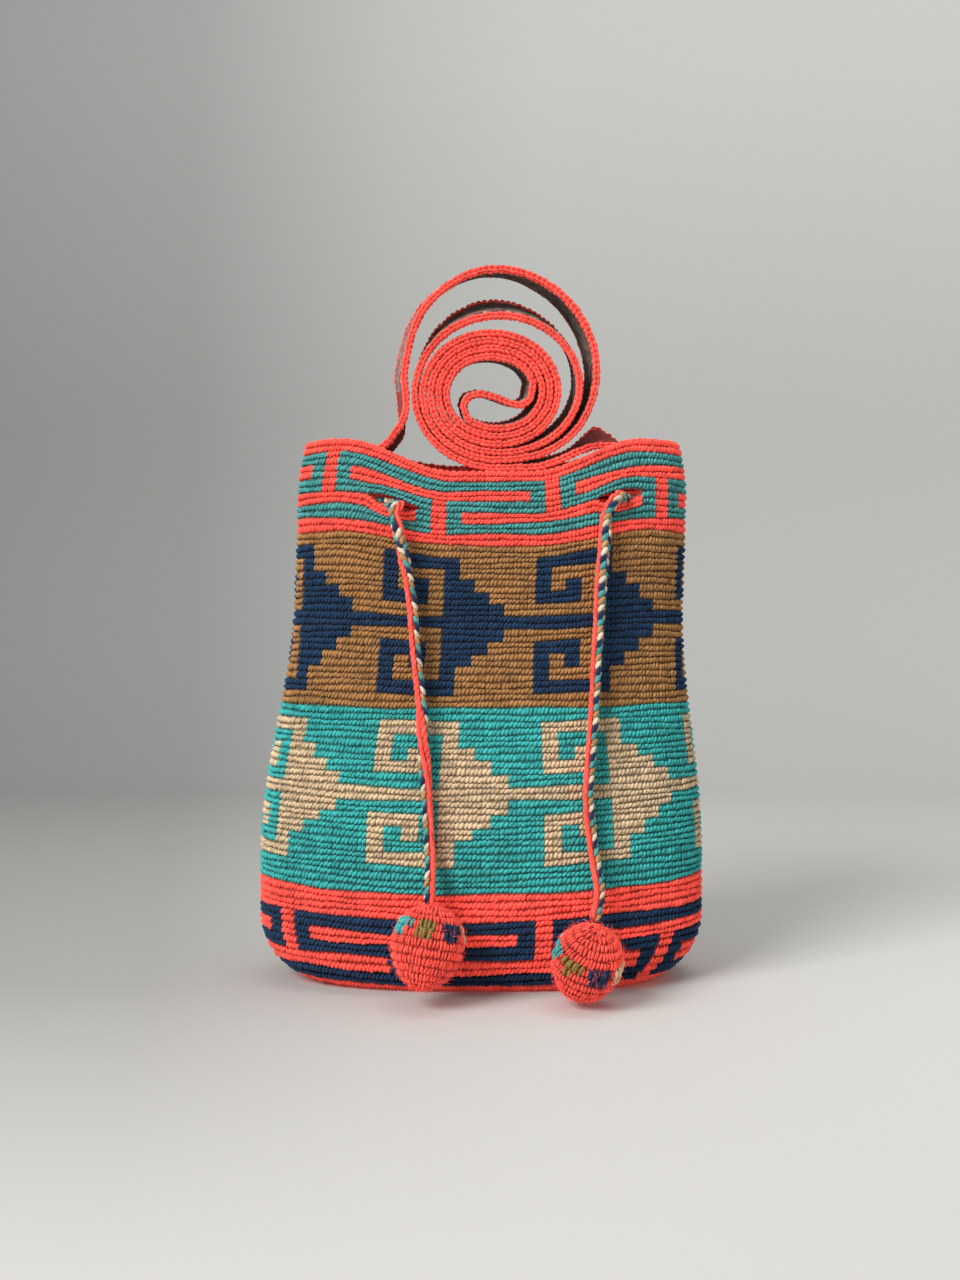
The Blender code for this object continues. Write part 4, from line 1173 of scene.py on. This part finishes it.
cord_route = [tail_end(LEFT_BALL, LEFT_TAIL)] + list(LEFT_TAIL[::-1]) + neck_route()
cord_route += list(RIGHT_TAIL) + [tail_end(RIGHT_BALL, RIGHT_TAIL)]
cord_path = evenly_spaced(through_points(cord_route, CORD_SAMPLES_PER_SPAN), CORD_STEPS)
print("cord length", round(float(travelled_along(cord_path)[-1]), 3), "m")

# %% [markdown]
# A frame is carried along the cord, and a table says how far the cord has turned on itself, so that the
# coral half and the many-coloured half change sides where they do in the photograph.

# %% The braid
BRAID_RADIUS = 0.00170
BRAID_COLUMNS = 4
TUBE_SIDES = 10
# Points from the cord's end to the place on its tail that faces the camera
TAIL_STEPS = 20
GRAIN_PITCH = 0.0030
CORD_TURNS = ((0.0, -92), (0.048, -95), (0.066, -180), (0.082, -262), (0.138, -266), (0.150, -360),
              (0.160, -445), (0.200, -450), (0.440, -450), (0.470, -405), (0.520, -435), (0.634, -458))
BRAID_YARNS = ("tan", "cream", "navy", "grey_teal")
YARNS["cream"] = cotton("cream_braided_cotton", "#DDCDB3")
YARNS["tan"] = cotton("tan_braided_cotton", "#B58A5C")
YARNS["olive"] = cotton("olive_crocheted_cotton", "#8F7B3E")


def carried_frames(path):
    """Two side vectors along a path that never flip, the first of which faces the camera on both tails."""
    along = unit(np.gradient(path, axis=0))
    side = np.array((0.0, -1.0, 0.0))
    sides = []
    for way in along:
        side = side - way * np.dot(side, way)
        side = side / np.linalg.norm(side)
        sides.append(side)
    sides = np.array(sides)
    others = np.cross(along, sides)
    on_tail = len(path) - TAIL_STEPS
    last = along[on_tail]
    wanted = np.array((0.0, -1.0, 0.0)) - last * -last[1]
    drift = math.atan2(np.dot(wanted, others[on_tail]), np.dot(wanted, sides[on_tail]))
    return along, sides, others, drift


grain_path = [(-1.1, -2.6, -0.8), (-0.8, -1.4, 0.0), (0.0, 0.0, 0.1), (0.8, 1.4, 0.0), (1.1, 2.6, -0.8)]
cord_grain = strand_shape("cord_grain", [grain_path], (0.95, 1.25, 0.95), 0.85)


def braid_places():
    """Places of the braid's grains, sorted by yarn."""
    along, sides, others, drift = carried_frames(cord_path)
    gone = np.linspace(0.0, CORD_LENGTH, CORD_STEPS)
    turns = np.array(CORD_TURNS)
    found = {}
    for column in range(BRAID_COLUMNS):
        many_coloured = column < BRAID_COLUMNS // 2
        column_angle = 2 * math.pi * (column - 0.5) / BRAID_COLUMNS
        for number in range(int(CORD_LENGTH / GRAIN_PITCH)):
            at = (number + (0.75 if column % 2 else 0.25)) * GRAIN_PITCH
            centre, way, side, other = [np.array([np.interp(at, gone, axis) for axis in rows.T])
                                        for rows in (cord_path, along, sides, others)]
            twist = math.radians(np.interp(at, turns[:, 0], turns[:, 1])) + drift * smoothstep(0.20, 0.44, at)
            angle = twist + column_angle
            outward = math.cos(angle) * side + math.sin(angle) * other
            yarn = BRAID_YARNS[(number + 2 * column) % 4] if many_coloured else "coral"
            slant = 1.0 if column % 2 else -1.0
            size = (slant, 1.0, 1.0) if many_coloured else (0.75 * slant, 1.35, 1.0)
            grain = (centre + BRAID_RADIUS * outward, outward, np.cross(way, outward), size)
            found.setdefault(yarn, []).append(grain)
    return {yarn: [np.array(axis) for axis in zip(*rows)] for yarn, rows in found.items()}


print("one grain:", len(cord_grain.data.polygons), "faces")

# %% [markdown]
# A thin round core fills the braid, and the grains of each yarn are set on it by the same tree. All the
# parts are then joined to one piece, because the braid is one cord.


# %% The core and the finished braid
def tube_faces_and_points(path, radius, sides_count):
    """A closed round tube along a path."""
    _, sides, others, _ = carried_frames(path)
    points = []
    for centre, side, other in zip(path, sides, others):
        for corner in range(sides_count):
            turn = 2 * math.pi * corner / sides_count
            points.append(centre + radius * (math.cos(turn) * side + math.sin(turn) * other))
    return points, capped_faces(len(path), sides_count)


def joined(name, pieces):
    """Several pieces as one object."""
    bpy.context.view_layer.update()
    with bpy.context.temp_override(active_object=pieces[0], object=pieces[0], selected_objects=pieces,
                                   selected_editable_objects=pieces):
        bpy.ops.object.join()
    pieces[0].name = name
    pieces[0].data.name = name
    return pieces[0]


tube_points, tube_faces = tube_faces_and_points(cord_path, BRAID_RADIUS, TUBE_SIDES)
# The core is painted dark coral, as painted shade between the braid's grains
braid_parts = [mesh_object("braid_core", tube_points, tube_faces, [coral_painted_shade_behind])]
for seed, (yarn_name, numbers) in enumerate(braid_places().items(), start=51):
    braid_parts.append(set_stitches("braid_" + yarn_name, numbers, cord_grain, YARNS[yarn_name], seed,
                                    turn_wobble=0.06, size_wobble=0.05))
drawstring_braid = joined("drawstring_braid", braid_parts)
print("braid:", len(drawstring_braid.data.polygons), "faces")

# %% [markdown]
# Each ball is an egg worked in rounds of tall stitches with small holes between them, over a stuffing.
# Small T-shaped figures in four yarns go round it. The balls hang turned differently, so each has a pole
# of its own, and a few loose fibres stand off the wool.

# %% The ball's form and its stitch
BALL_ROW, BALL_STITCH = 0.0037, 0.0031
FIGURE_YARNS, FIGURES_ROUND, FIGURE_FULLNESS = ("olive", "navy", "beige", "teal"), 7, 1.5
BAR_HALF_TURN, STEM_HALF_TURN, STEM_SHIFT = 0.31, 0.15, 0.04
FIBRES = 900
# How deep under the egg's surface the core, the stitches and the fibres' roots lie
CORE_SINK, POST_SINK, FIBRE_SINK = 0.0016, 0.0006, 0.0004
CORE_LIFTS, CORE_TURNS = 17, 24
EGG_NARROWING = 0.07
post_legs = [((-0.85, -2.1, -0.7), (-0.75, -1.1, 0.0), (-0.7, 0.0, 0.3), (-0.6, 1.1, 0.1), (-0.3, 2.1, -0.7)),
             ((0.5, -2.1, -0.7), (0.7, -1.1, 0.0), (0.85, 0.0, 0.3), (0.9, 1.1, 0.1), (0.8, 2.1, -0.7))]
post_stitch = strand_shape("post_stitch", post_legs, (0.50, 0.60, 0.56), 0.95)
fibre_path = ((0.0, 0.0, -0.3), (0.4, 0.0, 0.6), (1.1, 0.2, 1.2), (2.2, 0.4, 1.4), (3.1, 0.4, 1.1))
wool_fibre = strand_shape("wool_fibre", [fibre_path], (0.07, 0.07, 0.05), 1.0)


def ball_frame(pole):
    """Three axes of a ball from its pole: right, away from the camera, up the pole."""
    up = np.array(Vector(pole).normalized())
    right = np.cross((0.0, 1.0, 0.0), up)
    right = right / np.linalg.norm(right)
    return right, np.cross(up, right), up


def ball_skin(egg, turn, lift, outward):
    """A place on an egg: turn goes round from the camera's side, lift goes from pole to pole."""
    middle, pole, half_width, half_height = egg
    right, away, up = ball_frame(pole)
    turn, lift = np.broadcast_arrays(np.asarray(turn, dtype=float), np.asarray(lift, dtype=float))
    narrowing = 1.0 + EGG_NARROWING * np.cos(lift)
    wide = (half_width * narrowing + outward) * np.sin(lift)
    tall = (half_height + outward) * np.cos(lift)
    return (np.array(middle) + wide[..., None] * np.sin(turn)[..., None] * right
            - wide[..., None] * np.cos(turn)[..., None] * away + tall[..., None] * up)


print("one tall stitch:", len(post_stitch.data.polygons), "faces")

# %% [markdown]
# One function makes a whole ball: the core, rounds of stitches sorted by yarn with the figures in them,
# and the loose fibres, all joined to one object.


# %% A whole ball
def figure_at(turn, row, first_row, phase):
    """The yarn of a ball's stitch: T-shaped figures at equal steps round it, or the coral ground."""
    step = 2 * math.pi / FIGURES_ROUND
    turn = (turn - phase + math.pi) % (2 * math.pi) - math.pi
    number = round(turn / step)
    beside = turn - number * step
    line = row - first_row
    on_bar = line == 0 and abs(beside) < BAR_HALF_TURN
    on_stem = line == 1 and abs(beside + STEM_SHIFT) < STEM_HALF_TURN
    if on_bar or on_stem:
        return FIGURE_YARNS[number % 4]
    return "coral"


def make_ball(name, middle, pole, half_width, half_height, first_row, phase, seed):
    """An egg with rounds of stitches, figures and loose fibres, as one object."""
    egg = (middle, pole, half_width, half_height)
    lifts = np.linspace(0.0, math.pi, CORE_LIFTS)
    turns = np.linspace(0.0, 2 * math.pi, CORE_TURNS + 1)[:-1]
    core = ball_skin(egg, turns[None, :], lifts[:, None], -CORE_SINK)
    core_faces = strip_faces(CORE_LIFTS, CORE_TURNS)
    # The core is painted dark coral, as painted shade in the holes between the stitches
    parts = [mesh_object(name + "_core", core.reshape(-1, 3), core_faces, [coral_painted_shade_behind])]
    rounds = round(math.pi * 0.5 * (half_width + half_height) / BALL_ROW)
    found = {}
    for row in range(rounds):
        lift = math.pi * (row + 0.5) / rounds
        count = max(5, round(2 * math.pi * half_width * math.sin(lift) / BALL_STITCH))
        for step in range(count):
            turn = 2 * math.pi * (step + 0.5 * (row % 2)) / count
            yarn = figure_at(turn, row, first_row, phase)
            found.setdefault(yarn, []).append((turn, lift, 2 * math.pi * math.sin(lift) * half_width / count))
    for shift, (yarn, rows) in enumerate(found.items()):
        turn, lift, width = np.array(rows).T

        def at(turn_shift, lift_shift):
            """The egg's surface near each stitch."""
            return ball_skin(egg, turn + turn_shift, lift + lift_shift, -POST_SINK)

        along = unit(at(0.05, 0.0) - at(-0.05, 0.0))
        outward = unit(np.cross(along, unit(at(0.0, -0.05) - at(0.0, 0.05))))
        fullness = 1.0 if yarn == "coral" else FIGURE_FULLNESS
        size = fullness * np.column_stack((width / BALL_STITCH, np.ones(len(width)), np.ones(len(width))))
        numbers = (at(0.0, 0.0), outward, along, size)
        parts.append(set_stitches(f"{name}_{yarn}", numbers, post_stitch, YARNS[yarn], seed + shift,
                                  turn_wobble=0.18, size_wobble=0.16))
    random = np.random.default_rng(seed)
    turn, lift = random.uniform(0, 2 * math.pi, FIBRES), np.arccos(random.uniform(-1, 1, FIBRES))
    place = ball_skin(egg, turn, lift, -FIBRE_SINK)
    outward = unit(place - np.array(middle))
    along = unit(np.cross(outward, random.normal(size=(FIBRES, 3))))
    size = np.ones((FIBRES, 3)) * random.uniform(0.5, 1.1, (FIBRES, 1))
    parts.append(set_stitches(name + "_fibres", (place, outward, along, size), wool_fibre, YARNS["coral"],
                              seed + 9, turn_wobble=0.5, size_wobble=0.2))
    return joined(name, parts)


ball_left = make_ball("crocheted_ball_left", LEFT_BALL, (0.17, 0.20, 0.96), 0.0148, 0.0172, 4, -0.16, 61)
ball_right = make_ball("crocheted_ball_right", RIGHT_BALL, (0.27, -0.35, 0.89), 0.0142, 0.0168, 5, -0.55, 81)

print("balls:", ball_left.name, "and", ball_right.name)

# %% [markdown]
# The imported model has a plain solid for every piece here. Each solid is hidden, and the scene pieces that
# stand for it hang on the root body.

# %% Hand the pieces over
for piece in wall_pieces + [bag_shell, rim_chain, inside_stitches]:
    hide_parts("bag_body")
    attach(piece, "root")
for piece in (strap_band, strap_edges):
    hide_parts("shoulder_strap")
    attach(piece, "root")
for piece, node, slot in ((drawstring_braid, "drawstring", "braided_cotton_cord"),
                          (ball_left, "ball_left", "crocheted_cotton_ball"),
                          (ball_right, "ball_right", "crocheted_cotton_ball")):
    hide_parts(node)
    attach(piece, "root")
for shape in (wall_stitch, chain_stitch, cord_grain, post_stitch, wool_fibre):
    bpy.data.objects.remove(shape)
print("handed over:", len(wall_pieces) + 8, "pieces")
